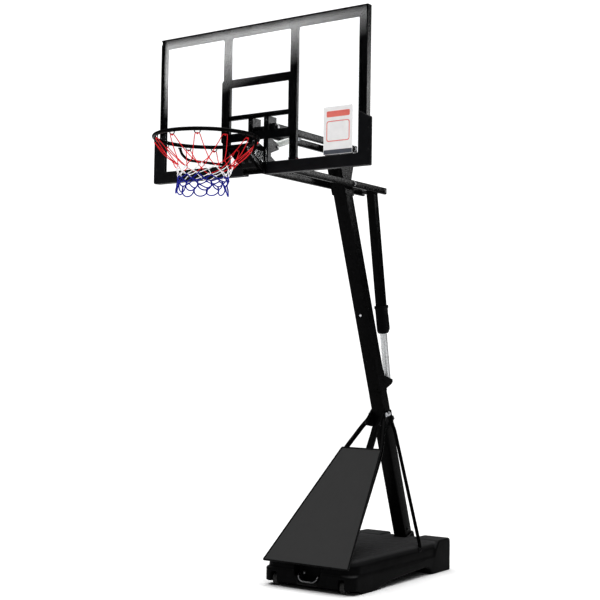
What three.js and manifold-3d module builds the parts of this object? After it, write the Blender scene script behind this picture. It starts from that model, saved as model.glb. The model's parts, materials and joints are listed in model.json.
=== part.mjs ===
// Portable basketball hoop with a lifting parallelogram arm, in millimetres.
// +Z is up, the player stands on the -Y side, and X = 0 is the mirror plane.
// The origin is on the underside of the base, below the foot of the pole.
import * as THREE from "three";
import { mergeVertices } from "three/addons/utils/BufferGeometryUtils.js";
import Module from "manifold-3d";

const wasm = await Module();
wasm.setup();

// ---- driving dimensions -------------------------------------------------------------------
const GAP = 0.3; // between pieces that touch
const RIM_HEIGHT = 2141; // top setting mark: the ring's centre plane above the floor
const BOARD_Y = -1400; // front plane of the backboard

const BOARD = { halfWidth: 613, below: 99, above: 615, depth: 31, bar: 24, side: 24, lip: 6 };
const SHEET = { front: 0.7, back: 5.2 }; // acrylic, behind the board's front plane
const STRUT = { x: 199, width: 38, front: 12, back: 36 }; // upright bars behind the acrylic
const CROSS_BAR = { bottom: 165, top: 185 };
const UPRIGHT = { inner: 33, outer: 60, front: 12, back: 76 };
const PAD = {
  halfWidth: 645,
  bottom: -116,
  inner: 62,
  front: -7,
  back: 26,
  top: 96,
  slant: 135,
  barTop: -58, // top edge of the leg along the bottom
  sideInner: 571.5, // inner edge of the leg up the side
  backHalfWidth: 627,
};

const ARM = { inner: 61, outer: 79, height: 34, wall: 2.5 };
const LOWER_Z = RIM_HEIGHT - 67; // both lower pivots at rest
const UPPER_Z = LOWER_Z + 183; // both upper pivots at rest
const FRONT_PIVOT_Y = BOARD_Y + 58;
const REAR_PIVOT_Y = BOARD_Y + 748;
const LEVER_Y = REAR_PIVOT_Y + 302; // pivot of the adjusting strut
const BOLT_R = 8;
const BOLT_HOLE_R = 8.7;

const POLE = { half: 38, wall: 3, lean: 0.363, y: -649, z: 2051, bottom: 132, top: 2222 };
const POLE_SPLICE_Z = 995; // lower edge of the upper section
const POLE_INSERT = 150; // length of the lower section inside the upper one

const STRUT_TOP = [LEVER_Y, LOWER_Z];
const STRUT_FOOT = [-160, 1041];
const GRIP = { start: 628, end: 782 };

const BASE = { front: -925, back: 95, halfWidth: 273, ledge: 92, deck: 166, lobeTop: 178 };
const WHEEL = { x: 203, y: -886, z: 33.5, radius: 31, width: 28, bore: 5.4 };

const RING = { radius: 234, rod: 8.5, y: BOARD_Y - 378 };
const RIM_PIVOT = [BOARD_Y - 17.5, RIM_HEIGHT - 108];
const ASSIST_FOOT = [BOARD_Y + 86, RIM_HEIGHT + 26];
const ASSIST_HEAD = [BOARD_Y + 340, UPPER_Z];

// ---- materials ----------------------------------------------------------------------------
const paint = (name, color, roughness, metalness) =>
  new THREE.MeshStandardMaterial({ name, color, roughness, metalness });
const blackSteel = () => paint("black_steel", 0x0b0b0c, 0.45, 0.2);
const moulded = () => paint("moulded_plastic", 0x111112, 0.5, 0);
const bareSteel = () => paint("bare_steel", 0xb9bcc0, 0.3, 1);
const clear = () => paint("acrylic", 0xeef4f8, 0.05, 0);
const padSkin = () => paint("pad_vinyl", 0x0d0e10, 0.6, 0);
const panelSheet = () => paint("panel_sheet", 0x373737, 0.7, 0);
const tread = () => paint("wheel_rubber", 0x141414, 0.8, 0);
const cordage = () => paint("net_cord", 0xd8d8dc, 0.9, 0);
const silver = () => paint("ribbed_silver", 0xb6b8b6, 0.4, 0.6);

// ---- solids -------------------------------------------------------------------------------
const part = new THREE.Group();

function solid(geometry) {
  const bare = new THREE.BufferGeometry();
  bare.setAttribute("position", geometry.getAttribute("position").clone());
  if (geometry.index) bare.setIndex(geometry.index.clone());
  const merged = mergeVertices(bare, 1e-4);
  return new wasm.Manifold(
    new wasm.Mesh({
      numProp: 3,
      vertProperties: new Float32Array(merged.attributes.position.array),
      triVerts: new Uint32Array(merged.index.array),
    }),
  );
}

function geometryOf(made) {
  const mesh = made.getMesh();
  const geometry = new THREE.BufferGeometry();
  geometry.setAttribute("position", new THREE.BufferAttribute(mesh.vertProperties, 3));
  geometry.setIndex(new THREE.BufferAttribute(mesh.triVerts, 1));
  geometry.computeVertexNormals();
  return geometry;
}

const join = (first, ...rest) => rest.reduce((whole, one) => whole.add(one), first);
const cut = (first, ...rest) => rest.reduce((whole, one) => whole.subtract(one), first);

function add(name, made, material) {
  const geometry = made.isBufferGeometry ? made : geometryOf(made);
  const mesh = new THREE.Mesh(geometry, material);
  mesh.name = name;
  part.add(mesh);
}

function box([x0, x1], [y0, y1], [z0, z1]) {
  const geometry = new THREE.BoxGeometry(x1 - x0, y1 - y0, z1 - z0);
  geometry.translate((x0 + x1) / 2, (y0 + y1) / 2, (z0 + z1) / 2);
  return solid(geometry);
}

// A round bar between two points.
function bar(from, to, radius, sides = 12) {
  const a = new THREE.Vector3(...from);
  const b = new THREE.Vector3(...to);
  const geometry = new THREE.CylinderGeometry(radius, radius, a.distanceTo(b), sides);
  const turn = new THREE.Quaternion().setFromUnitVectors(
    new THREE.Vector3(0, 1, 0),
    b.clone().sub(a).normalize(),
  );
  geometry.applyQuaternion(turn);
  geometry.translate(...a.add(b).multiplyScalar(0.5));
  return solid(geometry);
}

const crossBar = ([y, z], [x0, x1], radius, sides = 12) => bar([x0, y, z], [x1, y, z], radius, sides);

const outlineOf = (points) => new THREE.Shape(points.map((p) => new THREE.Vector2(...p)));

// A side outline in (y, z), with a thickness along X.
function sideSheet(outline, [x0, x1]) {
  const shape = Array.isArray(outline) ? outlineOf(outline) : outline;
  const geometry = new THREE.ExtrudeGeometry(shape, { depth: x1 - x0, bevelEnabled: false, curveSegments: 5 });
  geometry.applyMatrix4(
    new THREE.Matrix4().makeBasis(
      new THREE.Vector3(0, 1, 0),
      new THREE.Vector3(0, 0, 1),
      new THREE.Vector3(1, 0, 0),
    ),
  );
  geometry.translate(x0, 0, 0);
  return solid(geometry);
}

// A front outline in (x, z), with a thickness along Y.
function frontSheet(outline, [y0, y1]) {
  const shape = outlineOf(outline);
  const geometry = new THREE.ExtrudeGeometry(shape, { depth: y1 - y0, bevelEnabled: false, curveSegments: 6 });
  geometry.rotateX(Math.PI / 2);
  geometry.translate(0, y1, 0);
  return solid(geometry);
}

// A rectangle with round corners, about its own centre.
function roundedRectangle(width, height, radius) {
  const [w, h] = [width / 2, height / 2];
  const shape = new THREE.Shape();
  shape.moveTo(-w + radius, -h);
  shape.lineTo(w - radius, -h);
  shape.absarc(w - radius, -h + radius, radius, -Math.PI / 2, 0);
  shape.lineTo(w, h - radius);
  shape.absarc(w - radius, h - radius, radius, 0, Math.PI / 2);
  shape.lineTo(-w + radius, h);
  shape.absarc(-w + radius, h - radius, radius, Math.PI / 2, Math.PI);
  shape.lineTo(-w, -h + radius);
  shape.absarc(-w + radius, -h + radius, radius, Math.PI, 1.5 * Math.PI);
  return shape;
}

// A square tube or bar along a line in the mirror plane, from one (y, z) point, over a stretch.
function squareAlong([y, z], [dy, dz], [start, end], side, hole = 0, corner = 4) {
  const shape = roundedRectangle(side, side, corner);
  if (hole) shape.holes.push(roundedRectangle(hole, hole, 1.5));
  const geometry = new THREE.ExtrudeGeometry(shape, {
    depth: end - start,
    bevelEnabled: false,
    curveSegments: 1,
  });
  const along = new THREE.Vector3(0, dy, dz).normalize();
  const across = new THREE.Vector3(1, 0, 0);
  const up = new THREE.Vector3().crossVectors(along, across);
  geometry.translate(0, 0, start);
  geometry.applyMatrix4(new THREE.Matrix4().makeBasis(across, up, along));
  geometry.translate(0, y, z);
  return solid(geometry);
}

// A round tube bent through points, with short bends.
function bentBar(points, radius, sides, steps) {
  const curve = new THREE.CatmullRomCurve3(
    points.map((p) => new THREE.Vector3(...p)),
    false,
    "catmullrom",
    0.15,
  );
  const section = new THREE.Shape();
  section.absarc(0, 0, radius, 0, 2 * Math.PI);
  const geometry = new THREE.ExtrudeGeometry(section, {
    steps,
    curveSegments: sides / 2,
    extrudePath: curve,
    bevelEnabled: false,
  });
  return solid(geometry);
}

// A turned piece about a line along X, from [x, radius] steps that start and end on the axis.
function turned([y, z], steps, sides = 12) {
  const geometry = new THREE.LatheGeometry(
    steps.map(([x, r]) => new THREE.Vector2(r, x)),
    sides,
  );
  geometry.rotateZ(-Math.PI / 2);
  geometry.translate(0, y, z);
  return solid(geometry);
}

// A bolt along X through a pair of plates or arms: a head at each end and a shoulder between them.
function pivotBolt(centre, halfLength, shoulders) {
  const steps = [
    [0, -halfLength - 9],
    [11, -halfLength - 9],
    [11, -halfLength - GAP],
    [BOLT_R, -halfLength - GAP],
  ];
  for (const [from, to, radius] of shoulders) {
    steps.push([BOLT_R, from], [radius, from], [radius, to], [BOLT_R, to]);
  }
  steps.push(
    [BOLT_R, halfLength + GAP],
    [11, halfLength + GAP],
    [11, halfLength + 9],
    [0, halfLength + 9],
  );
  return turned(
    centre,
    steps.map(([r, x]) => [x, r]),
  );
}

const poleAxisY = (z) => POLE.y - POLE.lean * (z - POLE.z);
const POLE_FOOT = [poleAxisY(0), 0];
const POLE_DIRECTION = [-POLE.lean, 1];
const alongPole = (z) => z * Math.hypot(1, POLE.lean);

// ---- base ---------------------------------------------------------------------------------
function baseOutline(inset) {
  const w = BASE.halfWidth - inset;
  const [y0, y1] = [BASE.front + inset, BASE.back - inset];
  const corner = 46;
  const chamfer = 34;
  const shape = new THREE.Shape();
  shape.moveTo(-w + corner, y0);
  shape.lineTo(w - corner, y0);
  shape.absarc(w - corner, y0 + corner, corner, -Math.PI / 2, 0);
  shape.lineTo(w - 8, y1 - chamfer);
  shape.lineTo(w - chamfer - 8, y1);
  shape.lineTo(-w + chamfer + 8, y1);
  shape.lineTo(-w + 8, y1 - chamfer);
  shape.lineTo(-w, y0 + corner);
  shape.absarc(-w + corner, y0 + corner, corner, Math.PI, 1.5 * Math.PI);
  return shape;
}

function baseTank() {
  const skirt = new THREE.ExtrudeGeometry(baseOutline(0), {
    depth: BASE.ledge,
    bevelEnabled: false,
    curveSegments: 3,
  });
  const shoulderSize = 26;
  const shoulderDrop = 56;
  const deck = new THREE.ExtrudeGeometry(baseOutline(4 + shoulderSize), {
    depth: BASE.deck - 2 * shoulderDrop,
    bevelThickness: shoulderDrop,
    bevelSize: shoulderSize,
    bevelSegments: 3,
    curveSegments: 3,
  });
  deck.translate(0, 0, shoulderDrop);
  const blocks = [solid(skirt), solid(deck)];
  for (const side of [-1, 1]) blocks.push(rearLobe(side));
  const openings = [underArch(), frontRise(), frontNotch(), poleSocket(), fillNeck()];
  for (const side of [-1, 1]) openings.push(wheelArch(side));
  return cut(join(...blocks), ...openings);
}

// The raised block over each rear foot.
function rearLobe(side) {
  const top = BASE.lobeTop;
  const shape = new THREE.Shape();
  shape.moveTo(-104, 0);
  shape.lineTo(BASE.back, 0);
  shape.lineTo(BASE.back, top - 22);
  shape.quadraticCurveTo(BASE.back, top, BASE.back - 26, top);
  shape.lineTo(-34, top);
  shape.quadraticCurveTo(-84, top - 44, -104, 0);
  const [inner, outer] = [112, BASE.halfWidth - 6];
  return sideSheet(shape, side > 0 ? [inner, outer] : [-outer, -inner]);
}

// The space under the tank between its front and rear feet.
function underArch() {
  const shape = new THREE.Shape();
  shape.moveTo(-690, -1);
  shape.quadraticCurveTo(-640, 20, -560, 26);
  shape.lineTo(-190, 46);
  shape.quadraticCurveTo(-128, 44, -106, -1);
  return sideSheet(shape, [-300, 300]);
}

// The front edge stands clear of the floor, so that the tilted hoop rolls on its wheels.
function frontRise() {
  const shape = new THREE.Shape();
  shape.moveTo(BASE.front - 20, -1);
  shape.lineTo(-826, -1);
  shape.quadraticCurveTo(-850, 18, -880, 20);
  shape.lineTo(BASE.front - 20, 26);
  return sideSheet(shape, [-300, 300]);
}

const NOTCH_BACK = BASE.front + 60;

// The gap in the front edge that the transport handle crosses.
function frontNotch() {
  return frontSheet(
    [
      [-86, 200],
      [-78, 66],
      [-56, 26],
      [56, 26],
      [78, 66],
      [86, 200],
    ],
    [BASE.front - 40, NOTCH_BACK],
  );
}

const poleSocket = () =>
  squareAlong(POLE_FOOT, POLE_DIRECTION, [alongPole(POLE.bottom) - 1, alongPole(260)], 2 * POLE.half + 1);

const FILL_CAP = { x: -176, y: -300, radius: 30 };
const fillNeck = () =>
  bar([FILL_CAP.x, FILL_CAP.y, BASE.deck - 30], [FILL_CAP.x, FILL_CAP.y, BASE.deck + 20], 24.6, 20);

// A cap with a plug that sits in the filling neck.
function fillCap() {
  const { x, y, radius } = FILL_CAP;
  const plug = bar([x, y, BASE.deck - 20], [x, y, BASE.deck + 2], 23.8, 20);
  const top = bar([x, y, BASE.deck + GAP], [x, y, BASE.deck + 12], radius, 20);
  const grip = box([x - 22, x + 22], [y - 5, y + 5], [BASE.deck + 11, BASE.deck + 22]);
  return join(top, plug, grip);
}

function wheelArch(side) {
  const { x, y, z } = WHEEL;
  const half = 18;
  const shape = new THREE.Shape();
  shape.moveTo(BASE.front - 20, -1);
  shape.lineTo(y + 40, -1);
  shape.lineTo(y + 40, z);
  shape.absarc(y, z, 40, 0, Math.PI / 2);
  shape.lineTo(BASE.front - 20, z + 40);
  return sideSheet(shape, [side * x - half, side * x + half]);
}

const wheelAxle = (side) =>
  crossBar([WHEEL.y, WHEEL.z], [side * WHEEL.x - 17.6, side * WHEEL.x + 17.6], 5);

function wheel(side) {
  const { x, y, z, radius, width, bore } = WHEEL;
  const half = width / 2;
  const profile = [
    [bore, -half],
    [radius - 16, -half],
    [radius - 14, -half + 5],
    [radius - 6, -half + 5],
    [radius - 4, -half],
    [radius, -half + 3],
    [radius, half - 3],
    [radius - 4, half],
    [radius - 6, half - 5],
    [radius - 14, half - 5],
    [radius - 16, half],
    [bore, half],
    [bore, -half],
  ];
  const geometry = new THREE.LatheGeometry(
    profile.map(([r, w]) => new THREE.Vector2(r, w)),
    20,
  );
  geometry.rotateZ(-Math.PI / 2);
  geometry.translate(side * x, y, z);
  return solid(geometry);
}

const transportHandle = () =>
  bentBar(
    [
      [-60, NOTCH_BACK - GAP, 76],
      [-60, BASE.front + 20, 76],
      [-56, BASE.front + 6, 56],
      [-34, BASE.front + 4, 42],
      [34, BASE.front + 4, 42],
      [56, BASE.front + 6, 56],
      [60, BASE.front + 20, 76],
      [60, NOTCH_BACK - GAP, 76],
    ],
    4.5,
    8,
    24,
  );

add("base_tank", baseTank(), moulded());
add("fill_cap", fillCap(), moulded());
add("transport_handle", transportHandle(), bareSteel());
for (const [name, side] of [
  ["left", -1],
  ["right", 1],
]) {
  add("wheel_axle_" + name, wheelAxle(side), bareSteel());
  add("wheel_" + name, wheel(side), tread());
}

// ---- pole ---------------------------------------------------------------------------------
const insertSide = 2 * (POLE.half - POLE.wall - 1);

function poleLower() {
  const sleeveStart = alongPole(POLE_SPLICE_Z) - 2;
  const body = squareAlong(
    POLE_FOOT,
    POLE_DIRECTION,
    [alongPole(POLE.bottom), sleeveStart],
    2 * POLE.half,
    2 * (POLE.half - POLE.wall),
    8,
  );
  const spigot = squareAlong(
    POLE_FOOT,
    POLE_DIRECTION,
    [sleeveStart - 30, sleeveStart + POLE_INSERT],
    insertSide,
    insertSide - 6,
    6,
  );
  const collar = squareAlong(
    POLE_FOOT,
    POLE_DIRECTION,
    [sleeveStart - 30, sleeveStart - 10],
    2 * POLE.half - 2,
    insertSide - 6,
    6,
  );
  return join(body, spigot, collar);
}

function poleUpper() {
  const tube = squareAlong(
    POLE_FOOT,
    POLE_DIRECTION,
    [alongPole(POLE_SPLICE_Z), alongPole(POLE.top)],
    2 * POLE.half,
    2 * (POLE.half - POLE.wall),
    8,
  );
  return cut(tube, crossBar([REAR_PIVOT_Y, LOWER_Z], [-60, 60], BOLT_R + GAP));
}

// A plate on each side of the pole's head, which carries both rear pivots.
function headPlate(side) {
  const front = (z) => poleAxisY(z) - 40;
  const rear = (z) => poleAxisY(z) + 40;
  const top = UPPER_Z + 32;
  const outline = [
    [front(LOWER_Z - 55), LOWER_Z - 55],
    [rear(LOWER_Z - 55), LOWER_Z - 55],
    [rear(LOWER_Z + 26), LOWER_Z + 26],
    [REAR_PIVOT_Y + 42, LOWER_Z + 92],
    [REAR_PIVOT_Y + 40, top - 20],
    [REAR_PIVOT_Y + 20, top],
    [front(top) + 30, top],
    [front(top - 30), top - 30],
  ];
  const [inner, outer] = [POLE.half + GAP, POLE.half + 5.3];
  const plate = sideSheet(outline, side > 0 ? [inner, outer] : [-outer, -inner]);
  const holes = [LOWER_Z, UPPER_Z].map((z) => crossBar([REAR_PIVOT_Y, z], [-60, 60], BOLT_R + GAP));
  return cut(plate, ...holes);
}

// A cap over the pole's upper end, with a plug inside the tube.
function poleCap() {
  const end = alongPole(POLE.top);
  const plug = 2 * (POLE.half - POLE.wall) - 1;
  return join(
    squareAlong(POLE_FOOT, POLE_DIRECTION, [end + GAP, end + 4], 2 * POLE.half, 0, 8),
    squareAlong(POLE_FOOT, POLE_DIRECTION, [end - 20, end + 2], plug, plug - 8, 6),
  );
}

add("pole_lower", poleLower(), blackSteel());
add("pole_upper", poleUpper(), blackSteel());
add("pole_cap", poleCap(), moulded());
add("head_plate_left", headPlate(-1), blackSteel());
add("head_plate_right", headPlate(1), blackSteel());

const PLATE_TO_ARM = [
  [-ARM.inner + GAP, -POLE.half - 5.6, 14],
  [POLE.half + 5.6, ARM.inner - GAP, 14],
];
add("lower_rear_bolt", pivotBolt([REAR_PIVOT_Y, LOWER_Z], ARM.outer, PLATE_TO_ARM), bareSteel());
add("upper_rear_bolt", pivotBolt([REAR_PIVOT_Y, UPPER_Z], ARM.outer, PLATE_TO_ARM), bareSteel());

// ---- braces -------------------------------------------------------------------------------
const BRACE_HUB = [poleAxisY(858), 858]; // where the braces meet the pole
const BRACE_R = 12.5;

function braceHub(side) {
  const [y, z] = BRACE_HUB;
  const outline = [
    [y - 96, z - 58],
    [y - 44, z - 66],
    [y + 64, z - 74],
    [y + 30, z + 26],
    [y - 34, z + 34],
  ];
  const [inner, outer] = [POLE.half + GAP, POLE.half + 4.3];
  return sideSheet(outline, side > 0 ? [inner, outer] : [-outer, -inner]);
}

function frontBrace(side) {
  const [y, z] = BRACE_HUB;
  return bentBar(
    [
      [side * 57, y - 36, z - 2],
      [side * 62, y - 60, z - 26],
      [side * 112, -404, 676],
      [side * 122, -440, 632],
      [side * 214, -864, 185],
    ],
    BRACE_R,
    10,
    14,
  );
}

function sideBrace(side) {
  const [y, z] = BRACE_HUB;
  return bentBar(
    [
      [side * 57, y + 30, z - 20],
      [side * 62, y + 26, z - 60],
      [side * 249, -226, 182],
      [side * 260, -235, 163],
    ],
    9,
    8,
    10,
  );
}

function centreBrace() {
  const [y, z] = BRACE_HUB;
  const foot = new THREE.Vector2(-600, BASE.deck + 14);
  const head = new THREE.Vector2(y - 62, z - 70);
  const run = head.clone().sub(foot);
  return squareAlong(foot.toArray(), run.toArray(), [0, run.length()], 30, 25, 3);
}

// A sheet panel in front of the two front braces.
function frontPanel() {
  const bottom = { half: 258, y: -941.5, z: 126.5 };
  const top = { half: 125, y: -418, z: 679 };
  const run = Math.hypot(top.y - bottom.y, top.z - bottom.z);
  const shape = new THREE.Shape([
    new THREE.Vector2(-bottom.half, 0),
    new THREE.Vector2(bottom.half, 0),
    new THREE.Vector2(top.half, run),
    new THREE.Vector2(-top.half, run),
  ]);
  const geometry = new THREE.ExtrudeGeometry(shape, { depth: 5, bevelEnabled: false });
  const slope = Math.atan2(top.z - bottom.z, top.y - bottom.y);
  geometry.rotateX(slope);
  geometry.translate(0, bottom.y, bottom.z);
  return solid(geometry);
}

for (const [name, side] of [
  ["left", -1],
  ["right", 1],
]) {
  add("brace_hub_" + name, braceHub(side), blackSteel());
  add("front_brace_" + name, frontBrace(side), blackSteel());
  add("side_brace_" + name, sideBrace(side), blackSteel());
}
add("centre_brace", centreBrace(), blackSteel());
add("front_panel", frontPanel(), panelSheet());

// ---- lifting arms -------------------------------------------------------------------------
function arm(side, z, back, pivots) {
  const [x0, x1] = side > 0 ? [ARM.inner, ARM.outer] : [-ARM.outer, -ARM.inner];
  const half = ARM.height / 2;
  const front = FRONT_PIVOT_Y - 18;
  const outer = box([x0, x1], [front, back], [z - half, z + half]);
  const hollow = box(
    [x0 + ARM.wall, x1 - ARM.wall],
    [front - 1, back + 1],
    [z - half + ARM.wall, z + half - ARM.wall],
  );
  const holes = pivots.map((y) => crossBar([y, z], [x0 - 5, x1 + 5], BOLT_HOLE_R));
  return cut(outer, hollow, ...holes);
}

for (const [name, side] of [
  ["left", -1],
  ["right", 1],
]) {
  add(
    "lower_arm_" + name,
    arm(side, LOWER_Z, LEVER_Y + 22, [FRONT_PIVOT_Y, REAR_PIVOT_Y, LEVER_Y]),
    blackSteel(),
  );
  add(
    "upper_arm_" + name,
    arm(side, UPPER_Z, REAR_PIVOT_Y + 20, [FRONT_PIVOT_Y, REAR_PIVOT_Y]),
    blackSteel(),
  );
}
const LEVER_SHOULDERS = [
  [-ARM.inner + GAP, -24.5, 12],
  [24.5, ARM.inner - GAP, 12],
];
add("strut_top_bolt", pivotBolt(STRUT_TOP, ARM.outer, LEVER_SHOULDERS), bareSteel());

// ---- adjusting strut ----------------------------------------------------------------------
const STRUT_RUN = [STRUT_FOOT[0] - STRUT_TOP[0], STRUT_FOOT[1] - STRUT_TOP[1]];
const STRUT_LENGTH = Math.hypot(...STRUT_RUN);

function strutOuter() {
  const tube = squareAlong(STRUT_TOP, STRUT_RUN, [-20, GRIP.start], 47, 34, 6);
  return cut(tube, crossBar(STRUT_TOP, [-40, 40], BOLT_HOLE_R));
}

function strutGrip() {
  const body = squareAlong(STRUT_TOP, STRUT_RUN, [GRIP.start + GAP, GRIP.end], 57, 32, 10);
  const flange = squareAlong(STRUT_TOP, STRUT_RUN, [GRIP.start + GAP, GRIP.start + 16], 64, 32, 11);
  return join(body, flange);
}

// A point on the strut's line, set off square to it towards the rear.
function offStrut(along, off) {
  const [dy, dz] = STRUT_RUN.map((v) => v / STRUT_LENGTH);
  return [STRUT_TOP[0] + dy * along - dz * off, STRUT_TOP[1] + dz * along + dy * off];
}

function strutTrigger() {
  const outline = [
    [GRIP.start + 30, 29.1],
    [GRIP.start + 30, 37.5],
    [GRIP.start + 60, 44.5],
    [GRIP.end - 24, 47.5],
    [GRIP.end - 12, 43.5],
    [GRIP.end - 18, 40],
    [GRIP.start + 66, 37.5],
    [GRIP.start + 52, 31.3],
    [GRIP.start + 38, 29.1],
  ].map(([along, off]) => offStrut(along, off));
  return sideSheet(outline, [-15, 15]);
}

function strutInner() {
  return squareAlong(STRUT_TOP, STRUT_RUN, [GRIP.start - 60, STRUT_LENGTH + 12], 30, 25, 3);
}

// Two wings and a back on the rear of the pole, open to the rear.
function strutBracket() {
  const [y, z] = STRUT_FOOT;
  const face = (height) => poleAxisY(height) + POLE.half * Math.hypot(1, POLE.lean) + GAP;
  const wing = [
    [face(z + 36), z + 36],
    [face(z - 46), z - 46],
    [y + 2, z - 16],
    [y + 15, z - 4],
    [y + 13, z + 10],
  ];
  const back = [
    [face(z + 60), z + 60],
    [face(z - 50), z - 50],
    [face(z - 50) + 5, z - 50],
    [face(z + 60) + 5, z + 60],
  ];
  return join(sideSheet(wing, [-26, -22]), sideSheet(wing, [22, 26]), sideSheet(back, [-34, 34]));
}

add("strut_outer_tube", strutOuter(), blackSteel());
add("strut_grip", strutGrip(), moulded());
add("strut_trigger", strutTrigger(), moulded());
add("strut_inner_tube", cut(strutInner(), crossBar(STRUT_FOOT, [-40, 40], 6.6)), bareSteel());
add("strut_foot_pin", crossBar(STRUT_FOOT, [-21, 21], 6), bareSteel());
add("strut_bracket", strutBracket(), blackSteel());

// ---- backboard ----------------------------------------------------------------------------
const boardY = (depth) => BOARD_Y + depth;
const boardZ = (height) => RIM_HEIGHT + height;

// A frame bar with a lip on its outer edge, which the acrylic sits behind.
function boardBar([x0, x1], [z0, z1], lip) {
  const back = [boardY(SHEET.back + GAP), boardY(BOARD.depth)];
  const whole = [boardY(0), boardY(BOARD.depth)];
  const tube = box([x0, x1], back, [z0, z1]);
  return join(tube, box(lip.x, whole, lip.z));
}

function backboard() {
  const { halfWidth: w, bar: t, side: s, lip } = BOARD;
  const [z0, z1] = [boardZ(-BOARD.below), boardZ(BOARD.above)];
  const inner = [z0 + t + GAP, z1 - t - GAP];
  add(
    "frame_top",
    boardBar([-w, w], [z1 - t, z1], { x: [-w, w], z: [z1 - lip, z1] }),
    blackSteel(),
  );
  add(
    "frame_bottom",
    boardBar([-w, w], [z0, z0 + t], { x: [-w, w], z: [z0, z0 + lip] }),
    blackSteel(),
  );
  add("frame_left", boardBar([-w, s - w], inner, { x: [-w, lip - w], z: inner }), blackSteel());
  add("frame_right", boardBar([w - s, w], inner, { x: [w - lip, w], z: inner }), blackSteel());
  add(
    "acrylic_sheet",
    box(
      [-w + lip + GAP, w - lip - GAP],
      [boardY(SHEET.front), boardY(SHEET.back)],
      [z0 + lip + GAP, z1 - lip - GAP],
    ),
    clear(),
  );
  const between = [z0 + t + GAP, z1 - t - GAP];
  const depth = [boardY(STRUT.front), boardY(STRUT.back)];
  for (const [name, side] of [
    ["left", -1],
    ["right", 1],
  ]) {
    const x = side * STRUT.x;
    add("board_strut_" + name, box([x - STRUT.width / 2, x + STRUT.width / 2], depth, between), blackSteel());
  }
  const reach = STRUT.x - STRUT.width / 2 - GAP;
  add(
    "cross_bar",
    box([-reach, reach], depth, [boardZ(CROSS_BAR.bottom), boardZ(CROSS_BAR.top)]),
    blackSteel(),
  );
}

// An upright of the carriage: it stands behind the acrylic and holds the arms' front pivots.
function carriageUpright(side) {
  const foot = boardZ(-BOARD.below + BOARD.bar) + GAP;
  const behind = boardY(BOARD.depth + 5);
  const top = boardZ(CROSS_BAR.bottom) - GAP;
  const lug = boardY(UPRIGHT.back);
  const outline = [
    [boardY(UPRIGHT.front), foot],
    [behind, foot],
    [behind, LOWER_Z - 30],
    [lug, LOWER_Z - 30],
    [lug, LOWER_Z + 20],
    [behind, LOWER_Z + 42],
    [behind, ASSIST_FOOT[1] - 36],
    [ASSIST_FOOT[0] + 12, ASSIST_FOOT[1] - 12],
    [ASSIST_FOOT[0] + 12, ASSIST_FOOT[1] + 12],
    [behind, ASSIST_FOOT[1] + 36],
    [behind, UPPER_Z - 42],
    [lug, UPPER_Z - 20],
    [lug, top],
    [boardY(UPRIGHT.front), top],
  ];
  const { inner, outer } = UPRIGHT;
  const body = sideSheet(outline, side > 0 ? [inner, outer] : [-outer, -inner]);
  const holes = [
    crossBar([FRONT_PIVOT_Y, LOWER_Z], [-70, 70], BOLT_R + GAP),
    crossBar([FRONT_PIVOT_Y, UPPER_Z], [-70, 70], BOLT_R + GAP),
    crossBar(ASSIST_FOOT, [-70, 70], 6 + GAP),
  ];
  return cut(body, ...holes);
}

// A corner pad: one leg up the side and one along the bottom, wrapped round the frame.
function cornerPad(side) {
  const legTop = boardZ(PAD.top);
  const bottom = boardZ(PAD.bottom);
  const outline = [
    [PAD.inner, bottom],
    [PAD.halfWidth - 9, bottom],
    [PAD.halfWidth, bottom + 9],
    [PAD.halfWidth, legTop],
    [PAD.halfWidth - 12, legTop + 6],
    [PAD.sideInner, boardZ(PAD.slant)],
    [PAD.sideInner, boardZ(PAD.barTop)],
    [PAD.inner, boardZ(PAD.barTop)],
  ];
  const turnedRound = outline.map(([x, z]) => [side * x, z]);
  if (side < 0) turnedRound.reverse();
  const whole = frontSheet(turnedRound, [boardY(PAD.front), boardY(PAD.back)]);
  const edge = BOARD.halfWidth + GAP;
  const pocket = box(
    side > 0 ? [0, edge] : [-edge, 0],
    [boardY(-GAP), boardY(60)],
    [boardZ(-BOARD.below) - GAP, boardZ(400)],
  );
  // the outer wall leans in towards the back
  const corner = (x, y) => [side * x, boardY(y)];
  const clear = PAD.halfWidth + 60;
  const lean = outlineOf([
    corner(PAD.halfWidth, PAD.front),
    corner(PAD.backHalfWidth, PAD.back + 1),
    corner(clear, PAD.back + 1),
    corner(clear, PAD.front),
  ]);
  const wedge = new THREE.ExtrudeGeometry(lean, { depth: 400, bevelEnabled: false });
  wedge.translate(0, 0, bottom - 20);
  return cut(whole, pocket, solid(wedge));
}

backboard();
for (const [name, side] of [
  ["left", -1],
  ["right", 1],
]) {
  add("carriage_upright_" + name, carriageUpright(side), blackSteel());
  add("corner_pad_" + name, cornerPad(side), padSkin());
}
const UPRIGHT_SHOULDERS = [[-UPRIGHT.inner + GAP, UPRIGHT.inner - GAP, 12]];
add("lower_front_bolt", pivotBolt([FRONT_PIVOT_Y, LOWER_Z], ARM.outer, UPRIGHT_SHOULDERS), bareSteel());
add("upper_front_bolt", pivotBolt([FRONT_PIVOT_Y, UPPER_Z], ARM.outer, UPRIGHT_SHOULDERS), bareSteel());

// ---- lift-assist cylinder -----------------------------------------------------------------
const ASSIST_RUN = [ASSIST_HEAD[0] - ASSIST_FOOT[0], ASSIST_HEAD[1] - ASSIST_FOOT[1]];
const ASSIST_LENGTH = Math.hypot(...ASSIST_RUN);

function onAssist(along) {
  const share = along / ASSIST_LENGTH;
  return [0, ASSIST_FOOT[0] + ASSIST_RUN[0] * share, ASSIST_FOOT[1] + ASSIST_RUN[1] * share];
}

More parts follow.
